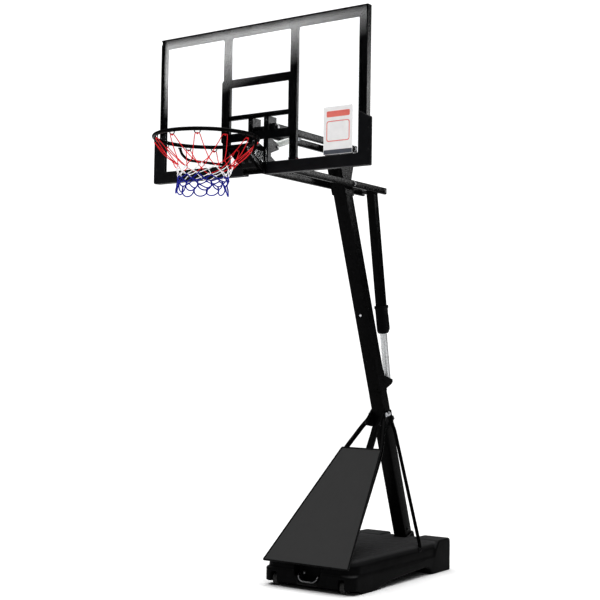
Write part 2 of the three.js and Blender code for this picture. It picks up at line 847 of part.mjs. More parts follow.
function assistCover() {
  const shell = cut(
    bar(onAssist(20), onAssist(182), 16, 20),
    bar(onAssist(46), onAssist(190), 8, 12),
  );
  const knob = crossBar(ASSIST_FOOT, [-14, 14], 15);
  const neck = bar(onAssist(4), onAssist(24), 11, 12);
  return cut(join(shell, knob, neck), crossBar(ASSIST_FOOT, [-30, 30], 6.7));
}

function assistRod() {
  const rod = bar(onAssist(130), onAssist(ASSIST_LENGTH), 7, 12);
  const eye = crossBar(ASSIST_HEAD, [-12, 12], 14);
  const pin = crossBar(ASSIST_HEAD, [-ARM.inner + 2, ARM.inner - 2], 6);
  return join(rod, eye, pin);
}

add("assist_cover", assistCover(), silver());
add("assist_rod", assistRod(), bareSteel());
add("assist_foot_pin", crossBar(ASSIST_FOOT, [-UPRIGHT.outer + 1, UPRIGHT.outer - 1], 6), bareSteel());

// ---- rim ----------------------------------------------------------------------------------
const rimZ = boardZ;
const RIM_PLATE_FRONT = boardY(-9);

// The fixed plate on the board, with a lug at each end of the rim's hinge pin.
function rimMount() {
  const plate = box([-60, 60], [RIM_PLATE_FRONT, boardY(-0.4)], [rimZ(-97), rimZ(4)]);
  const lugs = [-1, 1].map((side) => {
    const x = side > 0 ? [55, 60] : [-60, -55];
    return box(x, [RIM_PIVOT[0] - 8, boardY(-0.4)], [rimZ(-116), rimZ(-90)]);
  });
  return cut(join(plate, ...lugs), crossBar(RIM_PIVOT, [-70, 70], 4 + GAP));
}

// The moving bracket: a knuckle on the pin, a back plate, a shelf under the ring and two gussets.
function rimBracket() {
  const back = RIM_PLATE_FRONT - 0.6;
  const shelfTop = rimZ(-RING.rod - GAP);
  const knuckle = crossBar(RIM_PIVOT, [-54, 54], 7);
  const plate = box([-54, 54], [back - 5, back], [rimZ(-106), shelfTop]);
  const shelf = box([-54, 54], [boardY(-162), back], [shelfTop - 5, shelfTop]);
  const gusset = [
    [back - 2, shelfTop - 2],
    [boardY(-150), shelfTop - 2],
    [boardY(-146), shelfTop - 14],
    [back - 8, rimZ(-104)],
    [back - 2, rimZ(-104)],
  ];
  const gussets = [-1, 1].map((side) => sideSheet(gusset, side > 0 ? [49, 54] : [-54, -49]));
  const whole = join(knuckle, plate, shelf, ...gussets);
  return cut(whole, crossBar(RIM_PIVOT, [-70, 70], 4.7));
}

// The box that holds the return spring, between the gussets.
function springBox() {
  const back = RIM_PLATE_FRONT - 5.6 - GAP;
  const shelfBottom = rimZ(-RING.rod - GAP) - 5 - GAP;
  const outline = [
    [back, shelfBottom],
    [boardY(-92), shelfBottom],
    [boardY(-92), rimZ(-34)],
    [boardY(-58), rimZ(-88)],
    [back, rimZ(-98)],
  ];
  return sideSheet(outline, [-40, 40]);
}

function ringGeometry() {
  const section = [];
  const sides = 10;
  for (let i = 0; i <= sides; i += 1) {
    const angle = (2 * Math.PI * (i % sides)) / sides;
    section.push(new THREE.Vector2(RING.radius + RING.rod * Math.cos(angle), RING.rod * Math.sin(angle)));
  }
  const geometry = new THREE.LatheGeometry(section, 40);
  geometry.rotateX(Math.PI / 2);
  geometry.translate(0, RING.y, RIM_HEIGHT);
  return solid(geometry);
}

// A rod from under the ring's side, down and back to the bracket's gusset.
const rimBrace = (side) =>
  bentBar(
    [
      [side * 222, RING.y + 84, rimZ(-16)],
      [side * 214, RING.y + 88, rimZ(-42)],
      [side * 190, RING.y + 98, rimZ(-70)],
      [side * 62, boardY(-44), rimZ(-80)],
    ],
    6,
    8,
    10,
  );

// The net's outer form: a thin open sleeve that narrows downwards.
function netSleeve() {
  const outer = [
    [222, -16],
    [203, -52],
    [152, -104],
    [122, -146],
    [118, -257],
  ];
  const inner = outer.map(([r, z]) => [r - 3, z]).reverse();
  const profile = [...outer, ...inner, outer[0]];
  const geometry = new THREE.LatheGeometry(
    profile.reverse().map(([r, z]) => new THREE.Vector2(r, z)),
    20,
  );
  geometry.rotateX(Math.PI / 2);
  geometry.translate(0, RING.y, RIM_HEIGHT);
  return solid(geometry);
}

add("rim_mount", rimMount(), blackSteel());
add("rim_hinge_pin", crossBar(RIM_PIVOT, [-60, 60], 4), bareSteel());
add("rim_bracket", rimBracket(), blackSteel());
add("rim_spring_box", springBox(), blackSteel());
add("rim_ring", ringGeometry(), blackSteel());
add("rim_brace_left", rimBrace(-1), blackSteel());
add("rim_brace_right", rimBrace(1), blackSteel());
add("net", netSleeve(), cordage());

export default part;
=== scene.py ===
# Looks of the portable basketball hoop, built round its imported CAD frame.
# Metres, +Z up, the player on the -Y side, X = 0 is the mirror plane.
import json
import math
import random

import bmesh
import bpy
import numpy
from mathutils import Matrix, Vector


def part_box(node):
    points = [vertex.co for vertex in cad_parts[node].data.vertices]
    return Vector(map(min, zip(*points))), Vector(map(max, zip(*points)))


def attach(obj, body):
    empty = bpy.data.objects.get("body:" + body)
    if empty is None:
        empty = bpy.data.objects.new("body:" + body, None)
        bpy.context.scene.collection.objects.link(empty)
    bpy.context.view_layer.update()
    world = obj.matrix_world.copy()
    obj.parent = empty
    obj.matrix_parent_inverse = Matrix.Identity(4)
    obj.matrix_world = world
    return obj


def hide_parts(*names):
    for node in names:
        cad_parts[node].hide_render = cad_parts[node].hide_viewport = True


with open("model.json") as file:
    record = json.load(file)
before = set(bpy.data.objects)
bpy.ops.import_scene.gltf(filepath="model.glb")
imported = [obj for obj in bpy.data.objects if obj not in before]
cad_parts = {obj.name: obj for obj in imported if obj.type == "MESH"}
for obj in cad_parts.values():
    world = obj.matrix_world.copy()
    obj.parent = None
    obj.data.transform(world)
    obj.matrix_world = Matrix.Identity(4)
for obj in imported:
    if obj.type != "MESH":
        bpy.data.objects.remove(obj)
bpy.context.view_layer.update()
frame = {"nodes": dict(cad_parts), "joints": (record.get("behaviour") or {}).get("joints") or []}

MM = 0.001
SIDES = (("left", -1), ("right", 1))
X_AXIS, Y_AXIS, Z_AXIS = Vector((1, 0, 0)), Vector((0, 1, 0)), Vector((0, 0, 1))
PIVOTS = {joint["name"]: Vector(joint["pos_m"]) for joint in frame["joints"] if "pos_m" in joint}
PANEL_OUT = Vector((0, -0.726, 0.688))  # the way the front panel faces


# ---- materials ----------------------------------------------------------------------------
class Tree:
    """A node tree, with short calls for the nodes used here."""

    def __init__(self, owner, clear=True):
        owner.use_nodes = True
        self.owner = owner
        self.nodes, self.links = owner.node_tree.nodes, owner.node_tree.links
        if clear:
            self.nodes.clear()

    def node(self, kind, **settings):
        made = self.nodes.new(kind)
        for key, value in settings.items():
            setattr(made, key, value)
        return made

    def put(self, value, socket):
        """Gives a socket its value: a link from another socket, or a number or colour."""
        if isinstance(value, bpy.types.NodeSocket):
            self.links.new(value, socket)
        else:
            socket.default_value = value

    def feed(self, node, **sockets):
        for key, value in sockets.items():
            self.put(value, node.inputs[key.replace("_", " ")])
        return node

    def coordinates(self, kind):
        return self.node("ShaderNodeTexCoord").outputs[kind]

    def stretched(self, scale):
        mapping = self.node("ShaderNodeMapping")
        return self.feed(mapping, Vector=self.coordinates("Object"), Scale=scale).outputs["Vector"]

    def noise(self, scale, detail=2.0, roughness=0.5, place=None):
        place = place or self.coordinates("Object")
        node = self.feed(self.node("ShaderNodeTexNoise"), Vector=place, Scale=scale)
        return self.feed(node, Detail=detail, Roughness=roughness).outputs["Fac"]

    def cells(self, scale, feature="F1"):
        node = self.node("ShaderNodeTexVoronoi", feature=feature)
        return self.feed(node, Vector=self.coordinates("Object"), Scale=scale).outputs["Distance"]

    def spread(self, value, low, high, to_low=0.0, to_high=1.0):
        """Value's range from low to high, stretched over another range."""
        node = self.node("ShaderNodeMapRange")
        for number, socket in zip((value, low, high, to_low, to_high), node.inputs):
            self.put(number, socket)
        return node.outputs["Result"]

    def maths(self, operation, *values):
        node = self.node("ShaderNodeMath", operation=operation)
        for value, socket in zip(values, node.inputs):
            self.put(value, socket)
        return node.outputs[0]

    def sum(self, a, b, share=1.0):
        """a and a share of b."""
        return self.maths("MULTIPLY_ADD", b, share, a)

    def blend(self, share, first, second):
        """Two colours, mixed by a share from 0 to 1."""
        node = self.node("ShaderNodeMix", data_type="RGBA")
        self.put(share, node.inputs[0])
        for slot, colour in ((6, first), (7, second)):
            self.put(colour if isinstance(colour, bpy.types.NodeSocket) else (*colour, 1), node.inputs[slot])
        return node.outputs[2]

    def part(self, vector, axis):
        """A vector's part along an axis."""
        return self.feed(self.node("ShaderNodeSeparateXYZ"), Vector=vector).outputs[axis]

    def edges(self, low=0.52, high=0.62):
        """1 on a piece's outer edges and 0 on its faces."""
        return self.spread(self.node("ShaderNodeNewGeometry").outputs["Pointiness"], low, high)

    def bump(self, height, distance, strength=1.0, normal=None):
        node = self.feed(self.node("ShaderNodeBump"), Height=height, Distance=distance, Strength=strength)
        if normal:
            self.links.new(normal, node.inputs["Normal"])
        return node.outputs["Normal"]

    def shader_mix(self, share, first, second):
        node = self.node("ShaderNodeMixShader")
        for value, socket in zip((share, first.outputs[0], second.outputs[0]), node.inputs):
            self.put(value, socket)
        return node

    def output(self, shader, kind="ShaderNodeOutputMaterial"):
        self.links.new(shader.outputs[0], self.node(kind).inputs["Surface"])
        return self.owner

    def finish(self, **sockets):
        """The shader and the output, with the shader's sockets by name."""
        return self.output(self.feed(self.node("ShaderNodeBsdfPrincipled"), **sockets))


def new_tree(name):
    return Tree(bpy.data.materials.new(name))


def grey(value):
    return (value,) * 3


def coated_steel():
    """Satin black powder coat: a fine orange peel, a few dusty patches, and paler edges, partly rubbed wear
    and partly a painted highlight.
    """
    tree = new_tree("black_steel")
    # random dusty patches of a paler tone; no light is painted here
    dust_and_top_light = tree.spread(tree.noise(9, 5, 0.6), 0.45, 0.75)
    # paler edges: partly rubbed wear, partly a painted highlight standing in for light caught on the edges
    wear_and_edge_highlight = tree.maths("MULTIPLY", tree.edges(), tree.spread(tree.noise(60, 4), 0.35, 0.6))
    colour = tree.blend(dust_and_top_light, (0.0008, 0.0008, 0.0009), (0.002, 0.002, 0.0022))
    peel = tree.sum(tree.noise(1300, 2), tree.noise(260, 2), 0.6)
    return tree.finish(
        Base_Color=tree.blend(wear_and_edge_highlight, colour, (0.0075, 0.0075, 0.008)),
        Roughness=tree.spread(tree.noise(35, 6, 0.65), 0.3, 0.7, 0.2, 0.32),
        Specular_IOR_Level=0.035,
        Normal=tree.bump(peel, 0.00012),
    )


def moulded_plastic(name, dark, light, grain, gloss, dust_and_top_light=None):
    """Moulded black plastic with a pebble grain, paler high spots along the edges (partly rubbed wear, partly
    a painted highlight), and upper faces painted paler as a painted top light.
    """
    tree = new_tree(name)
    patches = tree.spread(tree.noise(7, 6, 0.6), 0.35, 0.75)
    # paler edges: partly rubbed wear, partly a painted highlight along the edges
    wear_and_edge_highlight = tree.maths("MULTIPLY", tree.edges(), tree.spread(tree.noise(40, 4), 0.3, 0.65))
    colour = tree.blend(wear_and_edge_highlight, tree.blend(patches, dark, light), tuple(1.6 * c for c in light))
    if dust_and_top_light:
        # faces turned upwards blend to a paler colour: a painted top light, standing in for light falling
        # from above
        painted_top_light_mask = tree.spread(tree.part(tree.coordinates("Normal"), "Z"), 0.25, 0.95)
        colour = tree.blend(painted_top_light_mask, colour, dust_and_top_light)
    pebbles = tree.sum(tree.cells(grain, "SMOOTH_F1"), tree.noise(grain * 0.4, 3), 0.7)
    flow = tree.bump(tree.noise(11, 2), 0.0018, 0.5)
    return tree.finish(
        Base_Color=colour,
        Roughness=tree.spread(tree.noise(24, 5, 0.6), 0.3, 0.7, gloss, gloss + 0.14),
        Specular_IOR_Level=0.022,
        Normal=tree.bump(pebbles, 0.00022, 0.8, flow),
    )


def plated_steel(name, colour, brushed, metallic=1.0, spotted=0.62, scratches=0.00004):
    """Plated steel, brushed along one direction, with dull spots."""
    tree = new_tree(name)
    lines = tree.noise(1.0, 4, 0.6, tree.stretched(brushed))
    spots = tree.spread(tree.noise(70, 5, 0.7), 0.5, 0.8)
    return tree.finish(
        Base_Color=tree.blend(spots, colour, tuple(spotted * c for c in colour)),
        Metallic=metallic,
        Roughness=tree.spread(tree.noise(90, 4), 0.3, 0.7, 0.22, 0.36),
        Normal=tree.bump(lines, scratches),
    )


def clear_acrylic():
    """Clear acrylic that lets lamps through, with a trace of hairline scratches in its gloss."""
    tree = new_tree("acrylic")
    hairlines = tree.spread(tree.noise(1.0, 5, 0.7, tree.stretched((90, 90, 700))), 0.62, 0.75)
    clear = tree.feed(
        tree.node("ShaderNodeBsdfPrincipled"),
        Base_Color=(0.985, 0.992, 1.0, 1),
        Roughness=tree.spread(hairlines, 0, 1, 0.0, 0.035),
        IOR=1.49,
        Transmission_Weight=1.0,
        Normal=tree.bump(tree.noise(5, 1), 0.0004, 0.4),
    )
    through = tree.feed(tree.node("ShaderNodeBsdfTransparent"), Color=(0.93, 0.96, 0.98, 1))
    shadow = tree.node("ShaderNodeLightPath").outputs["Is Shadow Ray"]
    return tree.output(tree.shader_mix(shadow, clear, through))


def board_print():
    """The opaque black print on the acrylic."""
    tree = new_tree("board_print")
    specks = tree.spread(tree.noise(500, 3), 0.62, 0.7)
    return tree.finish(
        Base_Color=tree.blend(specks, (0.0035, 0.0035, 0.004), (0.007, 0.007, 0.0075)),
        Roughness=tree.spread(tree.noise(40, 3), 0.3, 0.7, 0.2, 0.28),
        Specular_IOR_Level=0.03,
        Normal=tree.bump(tree.noise(800, 2), 0.00002),
    )


def pad_skin():
    """The soft pad's skin: a leathery grain over a broad, shallow unevenness."""
    tree = new_tree("pad_vinyl")
    # paler edges: partly rubbed wear, partly a painted highlight along the pad's edges
    wear_and_edge_highlight = tree.maths("MULTIPLY", tree.edges(0.5, 0.6), tree.spread(tree.noise(50, 4), 0.4, 0.65))
    patches = tree.spread(tree.noise(14, 5), 0.4, 0.7)
    colour = tree.blend(patches, (0.003, 0.0034, 0.0044), (0.0058, 0.0063, 0.0078))
    grain = tree.sum(tree.cells(620, "SMOOTH_F1"), tree.noise(1500, 2), 0.4)
    return tree.finish(
        Base_Color=tree.blend(wear_and_edge_highlight, colour, (0.045, 0.046, 0.05)),
        Roughness=tree.spread(tree.noise(45, 4), 0.3, 0.7, 0.36, 0.5),
        Specular_IOR_Level=0.16,
        Sheen_Weight=0.01,
        Sheen_Roughness=0.4,
        Normal=tree.bump(grain, 0.00025, 0.8, tree.bump(tree.noise(30, 2), 0.0012, 0.5)),
    )


def panel_face():
    """Matt dark grey sheet with a faint grain drawn up its length, and blacker edges."""
    tree = new_tree("panel_sheet")
    streaks = tree.noise(1.0, 5, 0.65, tree.stretched((420, 26, 26)))
    facing = tree.node("ShaderNodeVectorMath", operation="DOT_PRODUCT")
    tree.put(tree.coordinates("Normal"), facing.inputs[0])
    tree.put(PANEL_OUT, facing.inputs[1])
    flat = tree.spread(tree.maths("ABSOLUTE", facing.outputs["Value"]), 0.6, 0.95)
    face = tree.blend(tree.spread(streaks, 0.3, 0.7), grey(0.0435), grey(0.047))
    return tree.finish(
        Base_Color=tree.blend(flat, grey(0.003), face),
        Roughness=tree.spread(tree.noise(18, 4), 0.3, 0.7, 0.7, 0.76),
        Specular_IOR_Level=0.1,
        Normal=tree.bump(tree.sum(streaks, tree.noise(1400, 2), 0.8), 0.00012, 0.7),
    )


def wheel_rubber():
    """Hard black rubber, scuffed grey where it rolls."""
    tree = new_tree("wheel_rubber")
    scuffed = tree.maths("MULTIPLY", tree.edges(0.5, 0.58), tree.spread(tree.noise(120, 5), 0.35, 0.6))
    return tree.finish(
        Base_Color=tree.blend(scuffed, (0.014, 0.014, 0.0145), (0.05, 0.048, 0.046)),
        Roughness=tree.spread(tree.noise(60, 4), 0.3, 0.7, 0.55, 0.8),
        Specular_IOR_Level=0.35,
        Normal=tree.bump(tree.noise(900, 4), 0.0003, 0.8),
    )


def net_cord(name, colour, shade):
    """Braided polyester cord: a fine braid, fuzz, and slightly uneven dye."""
    tree = new_tree(name)
    braid = tree.sum(tree.cells(900), tree.noise(1800, 3), 0.5)
    return tree.finish(
        Base_Color=tree.blend(tree.spread(tree.noise(160, 3), 0.3, 0.7), colour, shade),
        Roughness=tree.spread(tree.noise(700, 2), 0.3, 0.7, 0.6, 0.85),
        Specular_IOR_Level=0.25,
        Sheen_Weight=0.04,
        Sheen_Roughness=0.5,
        Normal=tree.bump(braid, 0.0006, 0.9),
    )


def label_film(name, colour, shade):
    """A printed vinyl label's plain field."""
    tree = new_tree(name)
    return tree.finish(
        Base_Color=tree.blend(tree.spread(tree.noise(30, 4), 0.35, 0.7), colour, shade),
        Roughness=tree.spread(tree.noise(80, 3), 0.3, 0.7, 0.34, 0.44),
        Normal=tree.bump(tree.noise(22, 2), 0.0004, 0.4),
    )


BLACK = coated_steel()
# the last colour paints the upward faces of the base paler: a painted top light
BASE_PLASTIC = moulded_plastic(
    "base_plastic", (0.003, 0.003, 0.0032), (0.006, 0.006, 0.0064), 700, 0.3, (0.048, 0.048, 0.049)
)
GRIP_PLASTIC = moulded_plastic("grip_plastic", (0.0036, 0.0036, 0.004), (0.0064, 0.0064, 0.0068), 1100, 0.34)
BRUSHED = (900, 900, 60)
ZINC = plated_steel("bare_steel", (0.66, 0.67, 0.69), BRUSHED)
DARK_ZINC = plated_steel("dark_zinc", (0.20, 0.20, 0.205), BRUSHED)
BLACK_BOLT = plated_steel("black_bolt", (0.016, 0.016, 0.017), BRUSHED, 0.5)
BRIGHT_TUBE = plated_steel("bright_tube", (0.78, 0.79, 0.8), (500, 500, 12), 0.25, 0.95, 0.000004)
SILVER = plated_steel("ribbed_silver", (0.7, 0.71, 0.68), (60, 500, 500), 0.2, 0.9)
ACRYLIC = clear_acrylic()
PRINT = board_print()
PAD = pad_skin()
PANEL = panel_face()
RUBBER = wheel_rubber()
CORD_RED = net_cord("net_cord_red", (0.82, 0.011, 0.021), (0.6, 0.008, 0.014))
CORD_WHITE = net_cord("net_cord_white", (0.95, 0.95, 0.95), (0.86, 0.86, 0.87))
CORD_BLUE = net_cord("net_cord_blue", (0.005, 0.01, 0.36), (0.004, 0.006, 0.22))
LABEL_WHITE = label_film("label_white", (0.93, 0.92, 0.92), (0.87, 0.86, 0.86))
LABEL_RED = label_film("label_red", (0.85, 0.24, 0.2), (0.76, 0.2, 0.17))
LABEL_GREY = label_film("label_grey", (0.1, 0.11, 0.13), (0.08, 0.09, 0.11))


# ---- shapes -------------------------------------------------------------------------------
def angles(count):
    """The angles of equal steps round a full turn."""
    return [2 * math.pi * k / count for k in range(count)]


def square_axes(ahead, guide=None):
    """Two unit vectors square to a direction; the first lies nearest to the guide."""
    guide = Vector(guide) if guide else (X_AXIS if abs(ahead.x) < 0.9 else Y_AXIS)
    first = (guide - ahead * guide.dot(ahead)).normalized()
    return first, ahead.cross(first)


def rounded_corners(points, radius, steps=6):
    """A path through points with its inner corners rounded."""
    points = [Vector(p) for p in points]
    path = [points[0]]
    for before, corner, after in zip(points, points[1:], points[2:]):
        reach = min(radius, (before - corner).length * 0.48, (after - corner).length * 0.48)
        start = corner + (before - corner).normalized() * reach
        end = corner + (after - corner).normalized() * reach
        for i in range(steps + 1):
            t = i / steps
            path.append(start * (1 - t) ** 2 + corner * 2 * t * (1 - t) + end * t * t)
    return path + [points[-1]]


def smooth_path(points, per_span=6):
    """A Catmull-Rom path through points."""
    points = [Vector(p) for p in points]
    last = len(points) - 1
    path = []
    for i in range(last):
        p0, p1, p2, p3 = (points[min(max(i + k, 0), last)] for k in (-1, 0, 1, 2))
        for k in range(per_span):
            t = k / per_span
            square = (2 * p0 - 5 * p1 + 4 * p2 - p3) * t * t
            cube = (3 * p1 - p0 - 3 * p2 + p3) * t**3
            path.append(0.5 * (2 * p1 + (p2 - p0) * t + square + cube))
    return path + [points[-1]]


def rounded_loop(width, height, radius, steps=4):
    """A rectangle's outline with round corners, about its centre."""
    loop = []
    for i, (sx, sy) in enumerate(((1, 1), (-1, 1), (-1, -1), (1, -1))):
        for k in range(steps + 1):
            angle = math.pi / 2 * (i + k / steps)
            x = sx * (width / 2 - radius) + radius * math.cos(angle)
            y = sy * (height / 2 - radius) + radius * math.sin(angle)
            loop.append((x, y))
    return loop


def chamfered(length, radius, chamfer=0.0006, inset=None):
    """The steps of a turned pin with chamfered ends; inset is the chamfer's depth, if not its length."""
    tip = radius - (inset or chamfer)
    return [(0, tip), (chamfer, radius), (length - chamfer, radius), (length, tip)]


def bush(half, bore, radius, chamfer):
    """The section of a turned bush, from -half to half, with chamfered rims."""
    inset = 0.8 * MM
    rim = [(half - chamfer, radius), (half, radius - inset), (half, bore)]
    return [(-along, out) for along, out in reversed(rim)] + rim


class Shells:
    """Closed shells gathered into one mesh, each with the number of its material."""

    def __init__(self):
        self.points = []
        self.faces = []
        self.marks = []

    def loft(self, rings, closed=False, mark=0):
        """Rings of equal count joined in turn; open lofts are capped."""
        first, count, number = len(self.points), len(rings[0]), len(rings)
        for ring in rings:
            self.points.extend(ring)
        faces = []
        for i in range(number if closed else number - 1):
            a, b = first + i * count, first + (i + 1) % number * count
            for k in range(count):
                m = (k + 1) % count
                faces.append((a + k, a + m, b + m, b + k))
        if not closed:
            faces.append(tuple(range(first + count - 1, first - 1, -1)))
            last = first + (number - 1) * count
            faces.append(tuple(range(last, last + count)))
        self.faces.extend(faces)
        self.marks.extend([mark] * len(faces))

    def sweep(self, path, radius, sides=16, closed=False, mark=0, guide=None):
        """A round bar along a path; radius may be a function of the share of the path covered."""
        count = len(path)
        tangents = []
        for i in range(count):
            ahead = path[(i + 1) % count] if closed or i < count - 1 else path[i]
            behind = path[i - 1] if closed or i > 0 else path[i]
            tangents.append((ahead - behind).normalized())
        first, _ = square_axes(tangents[0], guide)
        rings = []
        for i, (point, tangent) in enumerate(zip(path, tangents)):
            if i:
                first = tangents[i - 1].rotation_difference(tangent) @ first
                first = (first - tangent * first.dot(tangent)).normalized()
            second = tangent.cross(first)
            size = radius(i / (count - 1)) if callable(radius) else radius
            wide, high = size if isinstance(size, tuple) else (size, size)
            rings.append(
                [point + first * (wide * math.cos(a)) + second * (high * math.sin(a)) for a in angles(sides)]
            )
        self.loft(rings, closed, mark)

    def turned(self, origin, direction, steps, sides=32, mark=0):
        """A turned piece from (distance along, radius) steps."""
        origin, ahead = Vector(origin), Vector(direction).normalized()
        first, second = square_axes(ahead)
        outs = [first * math.cos(a) + second * math.sin(a) for a in angles(sides)]
        least = 0.2 * MM  # no step closes to a point
        rings = []
        for along, radius in steps:
            centre, reach = origin + ahead * along, max(radius, least)
            rings.append([centre + out * reach for out in outs])
        self.loft(rings, mark=mark)

    def ring_turned(self, origin, direction, section, sides=48, mark=0):
        """A turned ring from a closed (distance along, radius) section."""
        origin, ahead = Vector(origin), Vector(direction).normalized()
        first, second = square_axes(ahead)
        rings = []
        for a in angles(sides):
            out = first * math.cos(a) + second * math.sin(a)
            rings.append([origin + ahead * along + out * radius for along, radius in section])
        self.loft(rings, closed=True, mark=mark)

    def tube(self, start, end, width, height, corner, wall=None, mark=0, guide=None):
        """A rectangular tube with open ends, or a bar without a wall. Width lies along the guide."""
        start, end = Vector(start), Vector(end)
        first, second = square_axes((end - start).normalized(), guide)
        outer = rounded_loop(width, height, corner)

        def ring(centre, loop):
            return [centre + first * u + second * v for u, v in loop]

        if wall is None:
            self.loft([ring(start, outer), ring(end, outer)], mark=mark)
            return
        inner = rounded_loop(width - 2 * wall, height - 2 * wall, max(corner - wall, 0.4 * MM))
        rings = [ring(start, outer), ring(end, outer), ring(end, inner), ring(start, inner)]
        self.loft(rings, closed=True, mark=mark)

    def block(self, low, high):
        (x0, y0, z0), (x1, y1, z1) = low, high
        outline = ((x0, y0), (x1, y0), (x1, y1), (x0, y1))
        self.loft([[Vector((x, y, z)) for x, y in outline] for z in (z0, z1)])

    def hex_bolt(self, seat, direction, across, height, washer=True, mark=0):
        """A hexagon head on a washer; the direction is the way the head faces."""
        start = 0.0
        if washer:
            start = 1.6 * MM
            self.turned(seat, direction, [(0, across * 0.78), (start, across * 0.78)], 28, mark)
        r = across / 2 / math.cos(math.pi / 6)
        steps = [(start, r * 0.97), (start + 0.3 * MM, r)]
        steps += [(start + height * 0.82, r), (start + height, r * 0.86)]
        self.turned(seat, direction, steps, 6, mark)

    def dome_bolt(self, seat, direction, radius, height):
        """A domed screw head with a small hexagon recess."""
        rise = [math.pi / 2 * i / 6 for i in range(6)]
        steps = [(height * math.sin(a), radius * math.cos(a)) for a in rise]
        steps += [(height, radius * 0.42), (height, radius * 0.36), (height * 0.5, radius * 0.3)]
        self.turned(seat, direction, steps, 24)

    def mesh(self, name, joined=None):
        """The shells as a mesh that faces outwards, with another mesh joined on."""
        mesh = bpy.data.meshes.new(name)
        mesh.from_pydata([tuple(p) for p in self.points], [], self.faces)
        mesh.polygons.foreach_set("material_index", self.marks)
        made = bmesh.new()
        made.from_mesh(mesh)
        bmesh.ops.recalc_face_normals(made, faces=made.faces)
        if joined:
            made.from_mesh(joined)
        made.to_mesh(mesh)
        made.free()
        return mesh

    def piece(self, name, body, materials, slot, replaces=(), bevel=0.0, segments=2, sharp=35):
        """The mesh as a named object that rides on a body."""
        thing = bpy.data.objects.new(name, self.mesh(name))
        return placed(thing, body, materials, replaces, bevel, segments, sharp)


def placed(thing, body, materials, replaces=(), bevel=0.0, segments=2, sharp=35):
    """Links an object, gives it its materials and shading, and ties it to its body."""
    bpy.context.scene.collection.objects.link(thing)
    for material in materials if isinstance(materials, (list, tuple)) else [materials]:
        thing.data.materials.append(material)
    thing.data.shade_smooth()
    thing.data.set_sharp_from_angle(angle=math.radians(sharp))
    if bevel:
        round_edges(thing, bevel, segments)
    if replaces:
        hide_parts(*replaces)
    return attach(thing, body)


def round_edges(thing, width, segments):
    modifier = thing.modifiers.new("rounded_edges", "BEVEL")
    modifier.width = width
    modifier.segments = segments
    modifier.limit_method = "ANGLE"
    modifier.angle_limit = math.radians(38)
    modifier.harden_normals = True


def remeshed(name, node, voxel, smoothing, extra):
    """A CAD node's shape and extra shells joined, with every edge softened like a moulding."""
    made = bmesh.new()
    made.from_mesh(frame["nodes"][node].data)
    bmesh.ops.remove_doubles(made, verts=made.verts, dist=1e-5)
    plain = bpy.data.meshes.new(name + "_plain")
    made.to_mesh(plain)
    made.free()
    source = bpy.data.objects.new(name + "_source", extra.mesh(name, plain))
    bpy.context.scene.collection.objects.link(source)
    remesh = source.modifiers.new("voxels", "REMESH")
    remesh.mode = "VOXEL"
    remesh.voxel_size = voxel
    soften = source.modifiers.new("soften", "SMOOTH")
    soften.factor = 0.5
    soften.iterations = smoothing
    graph = bpy.context.evaluated_depsgraph_get()
    result = bpy.data.meshes.new_from_object(source.evaluated_get(graph))
    bpy.data.objects.remove(source)
    return bpy.data.objects.new(name, result)


def dress(node, material, bevel=0.0, segments=2):
    """A CAD node that keeps its shape: a finished material and softened edges."""
    thing = frame["nodes"][node]
    thing.data.materials.clear()
    thing.data.materials.append(material)
    if bevel:
        round_edges(thing, bevel, segments)


def middle(node):
    low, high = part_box(node)
    return (low + high) / 2


def vertex_arrays(mesh):
    """A mesh's vertex places and normals."""
    places = numpy.empty(3 * len(mesh.vertices))
    normals = numpy.empty(3 * len(mesh.vertices))
    mesh.vertices.foreach_get("co", places)
    mesh.vertices.foreach_get("normal", normals)
    return places.reshape(-1, 3), normals.reshape(-1, 3)


def press_line(mesh, path, width, depth, facing=Z_AXIS):
    """Presses a soft groove into a mesh along a path, on faces turned the given way."""
    places, normals = vertex_arrays(mesh)
    path = numpy.array([tuple(p) for p in path])
    reach = 3 * width
    near = ((places > path.min(0) - reach) & (places < path.max(0) + reach)).all(1)
    near &= normals @ numpy.array(tuple(facing)) > 0.35
    index = numpy.flatnonzero(near)
    if not len(index):
        return
    away = numpy.full(len(index), numpy.inf)
    for point in path:
        away = numpy.minimum(away, numpy.linalg.norm(places[index] - point, axis=1))
    sunk = depth * numpy.exp(-((away / width) ** 2)) * (away < reach)
    places[index] -= normals[index] * sunk[:, None]
    mesh.vertices.foreach_set("co", places.ravel())
    mesh.update()


# ---- base ---------------------------------------------------------------------------------
DECK_Z = 0.166
POLE_LEAN = 0.363  # forward run for each metre of height
POLE_FOOT_Y = 0.0955
POLE_WIDTH = 0.076
POLE_CORNER, POLE_WALL = 0.008, 0.003
POLE_RUN = Vector((0, -POLE_LEAN, 1)).normalized()
POLE_FRONT = Vector((0, -1, -POLE_LEAN)).normalized()  # out of the pole's front face


def on_pole(z):
    """The point of the pole's axis at a height."""
    return Vector((0, POLE_FOOT_Y - POLE_LEAN * z, z))


